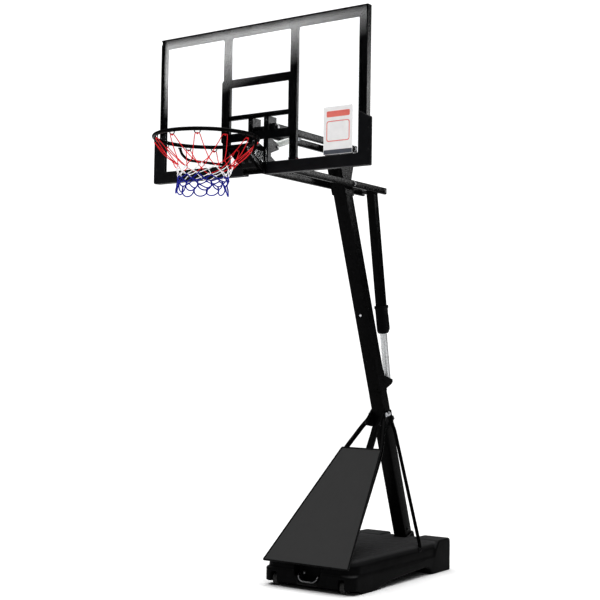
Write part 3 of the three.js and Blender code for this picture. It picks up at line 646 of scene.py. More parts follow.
def tank_shell():
    extra = Shells()
    collar_foot = on_pole(0.150)
    extra.tube(collar_foot, collar_foot + POLE_RUN * 0.032, 0.100, 0.100, 0.016, 0.0105)
    for side in (-1, 1):
        # a pad under each side brace's foot, and two short ribs across the deck
        extra.tube((side * 0.243, -0.264, 0.128), (side * 0.243, -0.208, 0.128), 0.03, 0.046, 0.010)
        for y in (-0.62, -0.47):
            ends = [(side * x, y, DECK_Z - 0.001) for x in (0.075, 0.185)]
            extra.tube(*ends, 0.026, 0.011, 0.005, guide=Y_AXIS)
    shell = remeshed("tank_shell", "base_tank", 5 * MM, 6, extra)
    bends = ((0.19, -0.875), (0.215, -0.80), (0.208, -0.60), (0.19, -0.36), (0.186, -0.14))
    for side in (-1, 1):
        crease = smooth_path([(side * x, y, DECK_Z) for x, y in bends], 10)
        press_line(shell.data, crease, 5.5 * MM, 4 * MM)
        seam = [Vector((side * 0.268, -0.87 + 0.008 * i, 0.088)) for i in range(84)]
        press_line(shell.data, seam, 4.0 * MM, 1.6 * MM, X_AXIS * side)
    placed(shell, "base", BASE_PLASTIC, ["base_tank"], sharp=80)


def fill_cap():
    centre = middle("fill_cap")
    centre.z = DECK_Z
    cap = Shells()
    cap.turned(centre - Z_AXIS * 0.02, Z_AXIS, [(0, 0.0235), (0.0205, 0.0235)], 32)
    rings = []
    profile = ((0.0006, 0.0295), (0.0016, 0.030), (0.010, 0.030), (0.012, 0.028), (0.0125, 0.024))
    for height, radius in profile:
        ring = []
        for k, angle in enumerate(angles(96)):
            knurl = 0.0007 * (1 if k % 4 < 2 else -1) if height < 0.011 else 0
            out = Vector((math.cos(angle), math.sin(angle), 0)) * (radius + knurl)
            ring.append(centre + out + Z_AXIS * height)
        rings.append(ring)
    cap.loft(rings)
    grip = [centre + Vector((x, 0, 0.0165)) for x in (-0.021, 0.021)]
    cap.tube(*grip, 0.0095, 0.011, 0.003, guide=Y_AXIS)
    cap.piece("fill_cap_knob", "fill_cap", BASE_PLASTIC, "base_plastic", ["fill_cap"], bevel=0.8 * MM)


def transport_handle():
    low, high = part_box("transport_handle")
    wire, half_width = 0.0045, 0.0605
    back, front, top, foot = high.y, low.y + wire, high.z - wire, low.z + wire
    bends = [
        (-half_width, back, top),
        (-half_width, front + 0.016, top),
        (-0.055, front + 0.001, top - 0.02),
        (-0.036, front, foot),
    ]
    bends += [(-x, y, z) for x, y, z in reversed(bends)]
    handle = Shells()
    handle.sweep(rounded_corners(bends, 0.014), wire, 20)
    for x in (-half_width, half_width):
        handle.turned((x, back, top), -Y_AXIS, [(0, 0.011), (0.002, 0.011), (0.003, 0.0095)], 28)
    handle.piece("handle_bar", "base", DARK_ZINC, "bare_steel", ["transport_handle"])


def wheels():
    radius, width, bore = 0.031, 0.028, 0.0056
    half = width / 2
    shoulder = [
        (-half + 0.0005, 0.0205),
        (-half, 0.0225),
        (-half, radius - 0.004),
        (-half + 0.0012, radius - 0.0014),
        (-half + 0.004, radius),
    ]
    tyre = list(shoulder)
    for step in range(4):
        groove = -half + 0.0065 + 0.0048 * step
        tyre += [(groove - 0.0006, radius), (groove, radius - 0.0014), (groove + 0.0006, radius)]
    tyre += [(-along, out) for along, out in reversed(shoulder)]
    # the rim, the web and the hub: half length, inner and outer radius, sides
    discs = ((half - 0.002, 0.0175, 0.0203, 48), (0.003, bore, 0.018, 48), (half - 0.001, bore, 0.0088, 32))
    for name, _ in SIDES:
        centre = middle("wheel_" + name)
        wheel = Shells()
        wheel.ring_turned(centre, X_AXIS, tyre, 64)
        for reach, inner, outer, sides in discs:
            section = [(-reach, inner), (-reach, outer), (reach, outer), (reach, inner)]
            wheel.ring_turned(centre, X_AXIS, section, sides, 1)
        for angle in angles(6):
            out = Vector((0, math.cos(angle), math.sin(angle)))
            start, end = centre + out * 0.0082, centre + out * 0.018
            wheel.tube(start, end, width - 0.006, 0.003, 0.0008, mark=1, guide=X_AXIS)
        node = "wheel_" + name
        wheel.piece("wheel_tyre_" + name, node, [RUBBER, BASE_PLASTIC], "wheel_rubber", [node], sharp=40)
        axle = Shells()
        low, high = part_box("wheel_axle_" + name)
        steps = chamfered(high.x - low.x, 0.005, inset=0.0004)
        axle.turned((low.x, centre.y, centre.z), X_AXIS, steps, 24)
        for x, way in ((low.x + 0.0004, 1), (high.x - 0.0004, -1)):
            axle.turned((x, centre.y, centre.z), (way, 0, 0), [(0, 0.0085), (0.0015, 0.0085)], 24)
        axle.piece("axle_pin_" + name, "base", ZINC, "bare_steel", ["wheel_axle_" + name])


def pole():
    splice, top = on_pole(0.995), on_pole(2.222)
    square = (POLE_WIDTH, POLE_WIDTH, POLE_CORNER)
    lower = Shells()
    lower.tube(on_pole(0.132), splice - POLE_RUN * 0.002, *square, POLE_WALL)
    lower.tube(splice - POLE_RUN * 0.03, splice + POLE_RUN * 0.15, 0.0678, 0.0678, 0.0065, POLE_WALL)
    lower.piece("pole_lower_tube", "base", BLACK, "black_steel", ["pole_lower"], bevel=0.5 * MM)
    upper = Shells()
    upper.tube(splice, top, *square, POLE_WALL)
    upper.piece("pole_upper_tube", "base", BLACK, "black_steel", ["pole_upper"], bevel=0.6 * MM)
    cap = Shells()
    cap.tube(top + POLE_RUN * 0.0003, top + POLE_RUN * 0.004, *square)
    cap.tube(top - POLE_RUN * 0.02, top + POLE_RUN * 0.001, 0.069, 0.069, 0.006, 0.004)
    cap.piece("pole_cap_plug", "base", BASE_PLASTIC, "base_plastic", ["pole_cap"], bevel=1.4 * MM, segments=3)
    fixings = Shells()
    face = POLE_WIDTH / 2
    fixings.dome_bolt(on_pole(1.407) + POLE_FRONT * face, POLE_FRONT, 0.0085, 0.0045)
    for side in (-1, 1):
        fixings.hex_bolt(on_pole(0.21) + X_AXIS * side * face, (side, 0, 0), 0.013, 0.006, mark=1)
    fixings.piece("pole_bolts", "base", [ZINC, BLACK_BOLT], "bare_steel", bevel=0.25 * MM)


# ---- braces -------------------------------------------------------------------------------
HUB = on_pole(0.858)
HUB_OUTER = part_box("brace_hub_right")[1].x
HUB_FLAT = 0.0485  # from the middle to a brace's pressed flat end


def flattened(radius, flat, head, foot):
    """A tube's half widths along its length, pressed flat at both ends."""

    def at(share):
        along = min(share / head, (1 - share) / foot)
        t = min(max((along - 0.55) / 0.45, 0), 1)
        t = t * t * (3 - 2 * t)
        return flat + (radius - flat) * t, radius * (1.38 - 0.38 * t)

    return at


def brace(name, replaced, side, bends, shape, sides):
    bar = Shells()
    bar.sweep(rounded_corners([(side * x, y, z) for x, y, z in bends], 0.03, 8), shape, sides)
    bar.piece(name, "base", BLACK, "black_steel", [replaced])


def braces():
    front = (
        (HUB_FLAT, HUB.y - 0.020, HUB.z + 0.016),
        (0.0495, HUB.y - 0.062, HUB.z - 0.03),
        (0.066, HUB.y - 0.090, HUB.z - 0.062),
        (0.112, -0.404, 0.676),
        (0.122, -0.440, 0.632),
        (0.211, -0.850, 0.1995),
        (0.214, -0.864, 0.185),
    )
    rear = (
        (HUB_FLAT, HUB.y + 0.034, HUB.z - 0.006),
        (0.050, HUB.y + 0.028, HUB.z - 0.05),
        (0.068, HUB.y + 0.0262, HUB.z - 0.085),
        (0.2488, -0.2257, 0.184),
        (0.2585, -0.2345, 0.161),
        (0.2610, -0.2370, 0.149),
    )
    front_shape = flattened(0.0125, 0.0035, 0.16, 0.06)
    rear_shape = flattened(0.009, 0.003, 0.14, 0.05)
    # each hub bolt: out from the middle, behind the hub, above it, across flats, height, material
    hub_bolts = (
        (0.0515, -0.036, 0, 0.017, 0.008, 0),
        (0.0515, 0.031, -0.022, 0.013, 0.006, 1),
        (HUB_OUTER, -0.088, -0.048, 0.013, 0.005, 1),
        (HUB_OUTER, 0.004, 0.004, 0.017, 0.008, 0),
    )
    for name, side in SIDES:
        brace("front_brace_tube_" + name, "front_brace_" + name, side, front, front_shape, 24)
        brace("side_brace_rod_" + name, "side_brace_" + name, side, rear, rear_shape, 20)
        fixings = Shells()
        for x, y, z, across, height, mark in hub_bolts:
            fixings.hex_bolt((side * x, HUB.y + y, HUB.z + z), (side, 0, 0), across, height, mark=mark)
        lean = Vector((side, 0, 0.35)).normalized()
        seat = Vector((side * 0.2625, -0.237, 0.150))
        fixings.turned(seat - lean * 0.008, lean, [(0, 0.0125), (0.0085, 0.0125), (0.0093, 0.0115)], 28, 1)
        fixings.hex_bolt(seat + lean * 0.0012, lean, 0.012, 0.005, mark=1)
        fixings.piece("brace_bolts_" + name, "base", [ZINC, BLACK_BOLT], "bare_steel", bevel=0.25 * MM)
        dress("brace_hub_" + name, BLACK, 0.8 * MM)
    tie = Shells()
    head = Vector((0, HUB.y - 0.062, HUB.z - 0.070))
    tie.tube((0, -0.600, DECK_Z + 0.014), head, 0.030, 0.030, 0.004, 0.0022)
    tie.piece("centre_brace_tube", "base", BLACK, "black_steel", ["centre_brace"], bevel=0.4 * MM)


def front_panel():
    """The sheet in front of the braces, and a thin black channel round its edge."""
    dress("front_panel", PANEL, 1.1 * MM, 3)
    foot, head = Vector((0, -0.9415, 0.1265)), Vector((0, -0.418, 0.679))
    foot_reach, head_reach = X_AXIS * 0.2565, X_AXIS * 0.1235
    corners = [foot - foot_reach, foot + foot_reach, head + head_reach, head - head_reach]
    inward = (corners[0] + corners[2]) / 2
    corners = [c + (inward - c).normalized() * 0.002 + PANEL_OUT * 0.0036 for c in corners]
    edging = Shells()
    for start, end in zip(corners, corners[1:] + corners[:1]):
        edging.tube(start, end, 0.0085, 0.0072, 0.0014, guide=PANEL_OUT)
    edging.piece("panel_edge_channel", "base", BLACK, "black_steel")


# ---- pivots and lifting arms --------------------------------------------------------------
ARM_INNER, ARM_OUTER, ARM_HEIGHT = 0.061, 0.079, 0.034
UPRIGHT_INNER, UPRIGHT_OUTER = 0.033, 0.060


def pivot_bolt(name, node, body, spacers):
    """A through bolt: washers and a hexagon head, a locking nut with its thread, and spacers."""
    centre = middle(node)
    bolt = Shells()
    end = ARM_OUTER + 0.0003
    bolt.turned(centre - X_AXIS * end, X_AXIS, [(0, 0.0079), (2 * end, 0.0079)], 28)
    bolt.hex_bolt(centre + X_AXIS * end, X_AXIS, 0.0175, 0.0062)
    nut_height = 0.0052
    bolt.hex_bolt(centre - X_AXIS * end, -X_AXIS, 0.0175, nut_height)
    thread = [(0, 0.0062)]
    for turn in range(4):
        thread += [(0.0004 + turn * 0.0009, 0.0052), (0.0008 + turn * 0.0009, 0.0046)]
    thread.append((0.004, 0.0040))
    bolt.turned(centre - X_AXIS * (end + nut_height), -X_AXIS, thread, 20)
    for start, stop, radius in spacers:
        bolt.turned(centre + X_AXIS * start, X_AXIS, chamfered(stop - start, radius), 32)
    bolt.piece(name, body, BLACK_BOLT, "bare_steel", [node], bevel=0.25 * MM)


def pivots():
    gap = 0.0003
    plate, strut_half = 0.0436, 0.0245
    beside_pole = [(-ARM_INNER + gap, -plate, 0.0135), (plate, ARM_INNER - gap, 0.0135)]
    beside_strut = [(-ARM_INNER + gap, -strut_half, 0.012), (strut_half, ARM_INNER - gap, 0.012)]
    between = [(-UPRIGHT_INNER + gap, UPRIGHT_INNER - gap, 0.0115)]
    pivot_bolt("lower_rear_pivot", "lower_rear_bolt", "base", beside_pole)
    pivot_bolt("upper_rear_pivot", "upper_rear_bolt", "base", beside_pole)
    pivot_bolt("strut_top_pivot", "strut_top_bolt", "lower_arms", beside_strut)
    pivot_bolt("lower_front_pivot", "lower_front_bolt", "carriage", between)
    pivot_bolt("upper_front_pivot", "upper_front_bolt", "carriage", between)
    for name, _ in SIDES:
        dress("head_plate_" + name, BLACK, 0.8 * MM)


def arms():
    width = ARM_OUTER - ARM_INNER
    for level in ("lower", "upper"):
        for name, _ in SIDES:
            node = level + "_arm_" + name
            low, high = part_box(node)
            x, _, z = middle(node)
            arm = Shells()
            arm.tube((x, low.y, z), (x, high.y, z), width, ARM_HEIGHT, 0.0032, 0.0022)
            for y, way in ((low.y, -1), (high.y, 1)):
                plug = [(x, y + way * offset, z) for offset in (-0.012, 0.0005)]
                flange = [(x, y + way * offset, z) for offset in (0.0003, 0.003)]
                arm.tube(*plug, width - 0.0046, ARM_HEIGHT - 0.0046, 0.0015, mark=1)
                arm.tube(*flange, width, ARM_HEIGHT, 0.0032, mark=1)
            looks, title = [BLACK, GRIP_PLASTIC], level + "_arm_tube_" + name
            arm.piece(title, level + "_arms", looks, "black_steel", [node], bevel=0.5 * MM)


# ---- adjusting strut ----------------------------------------------------------------------
STRUT_TOP = PIVOTS["strut_tilt"]
STRUT_FOOT = middle("strut_foot_pin")
STRUT_RUN = (STRUT_FOOT - STRUT_TOP).normalized()
STRUT_LENGTH = (STRUT_FOOT - STRUT_TOP).length
STRUT_BACK = Vector((0, -STRUT_RUN.z, STRUT_RUN.y)).normalized()
GRIP_START, GRIP_END = 0.628, 0.782
# the grip's outline: distance from its start, width, corner radius
GRIP_PROFILE = (
    (0.0004, 0.062, 0.013),
    (0.002, 0.064, 0.014),
    (0.0125, 0.064, 0.014),
    (0.0155, 0.062, 0.013),
    (0.019, 0.0575, 0.012),
    (0.060, 0.0565, 0.012),
    (0.110, 0.0575, 0.014),
    (0.136, 0.0580, 0.016),
    (0.147, 0.0550, 0.017),
    (0.1536, 0.0480, 0.017),
)


def on_strut(along, off=0.0, x=0.0):
    """A point along the strut, set off square to it towards the rear."""
    return STRUT_TOP + STRUT_RUN * along + STRUT_BACK * off + X_AXIS * x


def strut_grip():
    def section(along, width, corner):
        return [on_strut(GRIP_START + along, v, u) for u, v in rounded_loop(width, width, corner, 5)]

    grip = Shells()
    bore = [section(along, 0.032, 0.0035) for along in (GRIP_PROFILE[-1][0], GRIP_PROFILE[0][0])]
    grip.loft([section(*step) for step in GRIP_PROFILE] + bore, closed=True)
    for k in range(7):
        along = GRIP_START + 0.034 + 0.0135 * k
        for x in (-0.0284, 0.0284):
            rib = [on_strut(along, off, x) for off in (-0.014, 0.014)]
            grip.tube(*rib, 0.0026, 0.0046, 0.0012, guide=X_AXIS)
    grip.piece("strut_grip_body", "strut_outer", GRIP_PLASTIC, "grip_plastic", ["strut_grip"], sharp=50)
    dress("strut_trigger", GRIP_PLASTIC, 2.2 * MM, 3)


def strut():
    outer = Shells()
    outer.tube(on_strut(-0.020), on_strut(GRIP_START), 0.047, 0.047, 0.0055, 0.0026)
    outer.piece("strut_sleeve", "strut_outer", BLACK, "black_steel", ["strut_outer_tube"], bevel=0.5 * MM)
    strut_grip()
    inner = Shells()
    inner.tube(on_strut(GRIP_START - 0.06), on_strut(STRUT_LENGTH + 0.012), 0.030, 0.030, 0.0032, 0.0022)
    replaced = ["strut_inner_tube"]
    inner.piece("strut_inner_bar", "strut_inner", BRIGHT_TUBE, "bare_steel", replaced, bevel=0.4 * MM)
    grooves = Shells()
    for side in (-1, 1):
        ends = [on_strut(along, 0.004, side * 0.0146) for along in (GRIP_END + 0.004, STRUT_LENGTH - 0.022)]
        grooves.tube(*ends, 0.0012, 0.0035, 0.0004, guide=X_AXIS)
    grooves.piece("strut_bar_grooves", "strut_inner", DARK_ZINC, "bare_steel")
    pin = Shells()
    pin.turned(STRUT_FOOT - X_AXIS * 0.021, X_AXIS, chamfered(0.042, 0.006, 0.0008), 28)
    pin.piece("strut_foot_clevis_pin", "strut_inner", ZINC, "bare_steel", ["strut_foot_pin"])
    dress("strut_bracket", BLACK, 0.9 * MM)
    screws = Shells()
    for z in (STRUT_FOOT.z + 0.042, STRUT_FOOT.z - 0.034):
        for side in (-1, 1):
            seat = on_pole(z) - POLE_FRONT * (POLE_WIDTH / 2 + 0.0055) + X_AXIS * side * 0.014
            screws.hex_bolt(seat, -POLE_FRONT, 0.010, 0.0045)
    screws.piece("strut_bracket_bolts", "base", BLACK_BOLT, "bare_steel", bevel=0.2 * MM)


# ---- backboard ----------------------------------------------------------------------------
BOARD_LEFT, BOARD_Y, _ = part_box("frame_top")[0]
BOARD_RIGHT, BOARD_BACK, BOARD_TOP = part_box("frame_top")[1]
BOARD_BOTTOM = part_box("frame_bottom")[0].z
SHEET_LOW, SHEET_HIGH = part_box("acrylic_sheet")
RIM_Z = middle("rim_ring").z


def picture_frame(shells, outer, inner, corner_out, corner_in, y0, y1):
    """A flat rectangular ring in the board's plane; outer and inner are (left, right, bottom, top)."""

    def loop(sides, corner, y):
        left, right, bottom, top = sides
        centre = Vector(((left + right) / 2, y, (bottom + top) / 2))
        return [centre + Vector((u, 0, v)) for u, v in rounded_loop(right - left, top - bottom, corner)]

    rings = [loop(outer, corner_out, y) for y in (y0, y1)] + [loop(inner, corner_in, y) for y in (y1, y0)]
    shells.loft(rings, closed=True)


def board_film():
    """The print on the back of the acrylic: a border round it, and the target square."""
    film = Shells()
    depth = (SHEET_HIGH.y + 0.02 * MM, SHEET_HIGH.y + 0.17 * MM)
    sheet = (SHEET_LOW.x, SHEET_HIGH.x, SHEET_LOW.z, SHEET_HIGH.z)
    window = (BOARD_LEFT + 0.0455, BOARD_RIGHT - 0.0455, BOARD_BOTTOM + 0.041, BOARD_TOP - 0.053)
    picture_frame(film, sheet, window, 0.001, 0.003, *depth)
    half, line = 0.2195, 0.041
    bottom, top = RIM_Z + 0.054, RIM_Z + 0.360
    inner = (-half + line, half - line, bottom + line, top - line)
    picture_frame(film, (-half, half, bottom, top), inner, 0.012, 0.004, *depth)
    film.piece("board_print_film", "carriage", PRINT, "black_steel")


def board_bars():
    """The two upright struts behind the board, and the bar across them."""
    low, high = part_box("board_strut_right")
    depth = high.y - low.y
    for name, _ in SIDES:
        node = "board_strut_" + name
        low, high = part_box(node)
        x, y, _ = middle(node)
        bar = Shells()
        bar.tube((x, y, low.z), (x, y, high.z), high.x - low.x, depth, 0.004, 0.002)
        bar.piece("board_strut_bar_" + name, "carriage", BLACK, "black_steel", [node], bevel=0.4 * MM)
    low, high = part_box("cross_bar")
    _, y, z = middle("cross_bar")
    cross = Shells()
    cross.tube((low.x, y, z), (high.x, y, z), depth, high.z - low.z, 0.003, 0.002, guide=Y_AXIS)
    cross.piece("cross_bar_tube", "carriage", BLACK, "black_steel", ["cross_bar"], bevel=0.4 * MM)


def board_fixings():
    """End clips and bolts of the two struts, and the bolts round the frame's back."""
    clips, bolts = Shells(), Shells()
    grip = 0.0012  # how far a clip stands out of its strut
    for name, _ in SIDES:
        low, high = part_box("board_strut_" + name)
        x = (low.x + high.x) / 2
        for z, way in ((low.z, 1), (high.z, -1)):
            foot, head = sorted((z, z + way * 0.030))
            clips.block((low.x - grip, low.y - grip, foot), (high.x + grip, high.y + grip, head))
            bolts.hex_bolt((x, high.y + grip, z + way * 0.016), Y_AXIS, 0.011, 0.005)
            bolts.dome_bolt((x, low.y - grip, z + way * 0.016), -Y_AXIS, 0.006, 0.003)
    for share in (0.12, 0.5, 0.88):
        x = BOARD_LEFT + (BOARD_RIGHT - BOARD_LEFT) * share
        z = BOARD_BOTTOM + (BOARD_TOP - BOARD_BOTTOM) * (0.25 + 0.6 * share)
        seats = [(x, BOARD_BOTTOM + 0.012), (x, BOARD_TOP - 0.012)]
        seats += [(BOARD_LEFT + 0.012, z), (BOARD_RIGHT - 0.012, z)]
        for across, up in seats:
            bolts.dome_bolt((across, BOARD_BACK, up), Y_AXIS, 0.006, 0.003)
    clips.piece("strut_end_clips", "carriage", GRIP_PLASTIC, "grip_plastic", bevel=1.2 * MM)
    bolts.piece("board_bolts", "carriage", BLACK_BOLT, "bare_steel", bevel=0.2 * MM)


def backboard():
    for node in ("frame_top", "frame_bottom", "frame_left", "frame_right"):
        dress(node, BLACK, 0.9 * MM)
    dress("acrylic_sheet", ACRYLIC)
    board_film()
    board_bars()
    board_fixings()


def label():
    """A blank generic label on the acrylic: a pale field, a soft red band and box, and a grey foot."""
    left, right = 0.382, 0.539
    bottom, top = RIM_Z - 0.054, RIM_Z + 0.166
    white, red, dark = range(3)
    film = Shells()

    def field(inset, low, high, proud, mark, corner=0.003):
        """A rounded field between two heights, as far in from the label's sides as its inset."""
        centre = Vector(((left + right) / 2, 0, (low + high) / 2))
        loop = rounded_loop(right - left - 2 * inset, high - low, corner)
        depths = (SHEET_LOW.y - 0.0001, SHEET_LOW.y - proud)
        film.loft([[centre + Vector((u, y, v)) for u, v in loop] for y in depths], mark=mark)

    field(0, bottom, top, 0.00035, white)
    field(0.002, bottom + 0.002, bottom + 0.022, 0.00045, dark)
    field(0.016, top - 0.047, top - 0.020, 0.00045, red, 0.006)
    field(0.016, top - 0.160, top - 0.065, 0.00045, red, 0.012)
    field(0.020, top - 0.156, top - 0.069, 0.00055, white, 0.009)
    film.piece("blank_label", "carriage", [LABEL_WHITE, LABEL_RED, LABEL_GREY], "acrylic")


def uprights():
    bolts = Shells()
    for name, side in SIDES:
        node = "carriage_upright_" + name
        dress(node, BLACK, 1.3 * MM)
        low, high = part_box(node)
        for z in (high.z - 0.022, low.z + 0.02):
            bolts.dome_bolt((side * (UPRIGHT_INNER + UPRIGHT_OUTER) / 2, low.y, z), -Y_AXIS, 0.007, 0.0035)
    bolts.piece("upright_bolts", "carriage", BLACK_BOLT, "bare_steel")
    _, y, z = middle("assist_foot_pin")
    low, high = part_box("assist_foot_pin")
    pin = Shells()
    pin.turned((low.x, y, z), X_AXIS, chamfered(high.x - low.x, 0.0059, 0.0007), 28)
    for side in (-1, 1):
        pin.hex_bolt((side * (UPRIGHT_OUTER + 0.0002), y, z), (side, 0, 0), 0.0115, 0.0048, washer=False)
    pin.piece("assist_foot_pivot", "carriage", BLACK_BOLT, "bare_steel", ["assist_foot_pin"], bevel=0.2 * MM)


PAD_SCREWS = ((0.626, 0.052), (0.626, -0.046))  # across from the middle, and above the rim
PAD_LEG_X, PAD_LEG_WIDTH, PAD_FOOT_HEIGHT = 0.5715, 0.0735, 0.058


def corner_pads():
    for name, side in SIDES:
        node = "corner_pad_" + name
        pad = remeshed("pad_" + name, node, 3 * MM, 7, Shells())
        _, front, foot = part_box(node)[0]
        places, normals = vertex_arrays(pad.data)
        # the moulded face is slightly crowned between the edges of each leg
        x, z = abs(places[:, 0]), places[:, 2]
        across = numpy.where(x < PAD_LEG_X, (z - foot) / PAD_FOOT_HEIGHT, (x - PAD_LEG_X) / PAD_LEG_WIDTH)
        crown = numpy.clip(1 - (2 * numpy.clip(across, 0, 1) - 1) ** 2, 0, 1)
        facing = normals[:, 1] < -0.6
        places[facing, 1] = numpy.maximum(places[facing, 1] - 1.2 * MM * crown[facing], front)
        pad.data.vertices.foreach_set("co", places.ravel())
        pad.data.update()
        seam = [Vector((side * (0.075 + 0.004 * i), front, foot + 0.008)) for i in range(138)]
        seam += [Vector((side * 0.6345, front, foot + 0.014 + 0.004 * i)) for i in range(48)]
        press_line(pad.data, seam, 2.6 * MM, 1.3 * MM, -Y_AXIS)
        screws = Shells()
        for x, z in PAD_SCREWS:
            place = Vector((side * x, front, RIM_Z + z))
            press_line(pad.data, [place], 5.5 * MM, 2.4 * MM, -Y_AXIS)
            screws.dome_bolt(place + Y_AXIS * 0.0022, -Y_AXIS, 0.0034, 0.0014)
        placed(pad, "carriage", PAD, [node], sharp=80)
        screws.piece("pad_screws_" + name, "carriage", BLACK_BOLT, "bare_steel")


# ---- lift-assist cylinder -----------------------------------------------------------------
ASSIST_FOOT = PIVOTS["assist_tilt"]
ASSIST_HEAD = Vector((0, -1.060, PIVOTS["upper_arm_turn"].z))
ASSIST_RUN = (ASSIST_HEAD - ASSIST_FOOT).normalized()
ASSIST_LENGTH = (ASSIST_HEAD - ASSIST_FOOT).length


def assist():
    cover = Shells()
    steps = [(0.020, 0.0105), (0.022, 0.0150)]
    start, pitch, count = 0.026, 0.0058, 26
    for k in range(count):
        along = start + pitch * k
        steps += [
            (along, 0.0138),
            (along + 0.0008, 0.0149),
            (along + pitch * 0.40, 0.0159),
            (along + pitch * 0.60, 0.0159),
            (along + pitch - 0.0008, 0.0149),
        ]
    end = start + pitch * count
    steps += [(end, 0.0145), (end + 0.003, 0.0152), (end + 0.005, 0.0140)]
    bore = [(end + 0.005, 0.0078), (0.050, 0.0078), (0.050, 0.0002)]
    cover.turned(ASSIST_FOOT, ASSIST_RUN, steps + bore, 36)
    cover.turned(ASSIST_FOOT, ASSIST_RUN, [(0.0075, 0.0105), (0.024, 0.0105)], 28, 1)
    cover.ring_turned(ASSIST_FOOT, X_AXIS, bush(0.014, 0.0068, 0.015, 0.0012), 40, 1)
    looks = [SILVER, GRIP_PLASTIC]
    cover.piece("assist_spring_cover", "assist_cylinder", looks, "ribbed_silver", ["assist_cover"], sharp=50)
    rod = Shells()
    rod.turned(ASSIST_FOOT, ASSIST_RUN, [(0.130, 0.0064), (0.131, 0.007), (ASSIST_LENGTH - 0.013, 0.007)], 28)
    rod.ring_turned(ASSIST_HEAD, X_AXIS, bush(0.012, 0.0061, 0.014, 0.0008), 40)
    reach = ARM_INNER - 0.002
    rod.turned(ASSIST_HEAD - X_AXIS * reach, X_AXIS, chamfered(2 * reach, 0.006), 28)
    rod.piece("assist_rod_and_pin", "assist_rod", ZINC, "bare_steel", ["assist_rod"])


# ---- rim ----------------------------------------------------------------------------------
RING_CENTRE = middle("rim_ring")
RING_ROD = 0.0085
RING_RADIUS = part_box("rim_ring")[1].x - RING_ROD
HOOKS = 12


def round_ring(angle, radius, drop=0.0):
    """A point round the ring's axis, a drop below its centre plane."""
    return RING_CENTRE + Vector((radius * math.cos(angle), radius * math.sin(angle), -drop))


def ring():
    hoop = Shells()
    path = [round_ring(angle, RING_RADIUS) for angle in angles(96)]
    hoop.sweep(path, RING_ROD, 20, closed=True, guide=Z_AXIS)
    half = 0.0125 / RING_RADIUS
    # a hook's wire: the turn from its middle, the way in from the ring, and the drop
    bends = [(-half, 0, 0.0068), (-half, 0, 0.0135), (-half * 0.55, 0.0015, 0.0195)]
    bends += [(-turn, inward, drop) for turn, inward, drop in reversed(bends)]
    for centre in angles(HOOKS):
        eye = [round_ring(centre + turn, RING_RADIUS - 0.0005 - inward, drop) for turn, inward, drop in bends]
        hoop.sweep(rounded_corners(eye, 0.006, 4), 0.0021, 10)
    hoop.piece("ring_and_hooks", "rim", BLACK, "black_steel", ["rim_ring"], sharp=60)


def rim_braces():
    bends = (
        (0.222, RING_CENTRE.y + 0.080, RIM_Z - 0.0140),
        (0.216, RING_CENTRE.y + 0.085, RIM_Z - 0.040),
        (0.190, RING_CENTRE.y + 0.098, RIM_Z - 0.070),
        (0.060, BOARD_Y - 0.044, RIM_Z - 0.080),
    )
    for name, side in SIDES:
        rod = Shells()
        path = rounded_corners([(side * x, y, z) for x, y, z in bends], 0.045, 8)
        rod.sweep(path, 0.006, 18)
        weld = []
        for a in angles(12):
            bead = Vector((0.0075 * math.cos(a), 0.0075 * math.sin(a), 0.0006 * math.sin(3 * a)))
            weld.append(path[0] + bead)
        rod.sweep(weld, 0.0022, 8, closed=True)
        rod.piece("rim_brace_rod_" + name, "rim", BLACK, "black_steel", ["rim_brace_" + name], sharp=60)


def hinge_rivet():
    low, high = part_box("rim_hinge_pin")
    _, y, z = middle("rim_hinge_pin")
    pin = Shells()
    pin.turned((low.x, y, z), X_AXIS, chamfered(high.x - low.x, 0.004), 24)
    for side in (-1, 1):
        pin.turned((side * 0.0603, y, z), (side, 0, 0), [(0, 0.0075), (0.0022, 0.0075), (0.0032, 0.006)], 24)
    pin.piece("rim_hinge_rivet", "carriage", BLACK_BOLT, "bare_steel", ["rim_hinge_pin"])


def rim_bracket():
    dress("rim_mount", BLACK, 0.8 * MM)
    dress("rim_bracket", BLACK, 0.8 * MM)
    dress("rim_spring_box", BLACK, 3.2 * MM, 3)
    hinge_rivet()
    bolts = Shells()
    shelf_top = RIM_Z - 0.0088
    for x in (-0.030, 0.030):
        for y in (BOARD_Y - 0.040, BOARD_Y - 0.105):
            bolts.hex_bolt((x, y, shelf_top), Z_AXIS, 0.013, 0.006)
    slope_top = Vector((0, BOARD_Y - 0.092, RIM_Z - 0.034))
    slope_foot = Vector((0, BOARD_Y - 0.058, RIM_Z - 0.088))
    out = Vector((0, -(slope_top.z - slope_foot.z), slope_top.y - slope_foot.y)).normalized()
    for x in (-0.020, 0.020):
        bolts.hex_bolt(slope_top.lerp(slope_foot, 0.5) + X_AXIS * x, out, 0.013, 0.006)
    for side in (-1, 1):
        for before, below in ((0.034, 0.060), (0.090, 0.026)):
            bolts.hex_bolt((side * 0.054, BOARD_Y - before, RIM_Z - below), (side, 0, 0), 0.011, 0.005)
    bolts.piece("rim_bolts", "rim", BLACK_BOLT, "bare_steel", bevel=0.2 * MM)
    welds = Shells()
    for side in (-1, 1):
        bead = []
        for k in range(40):
            x = side * (0.006 + 0.046 * k / 39)
            y = RING_CENTRE.y + math.sqrt((RING_RADIUS - 0.004) ** 2 - x * x)
            bead.append(Vector((x, y, RIM_Z - 0.0068 + 0.0004 * math.sin(k * 1.9))))
        welds.sweep(bead, lambda share: 0.0028 + 0.0005 * math.sin(share * 70), 8)
    welds.piece("ring_welds", "rim", BLACK, "black_steel", sharp=70)


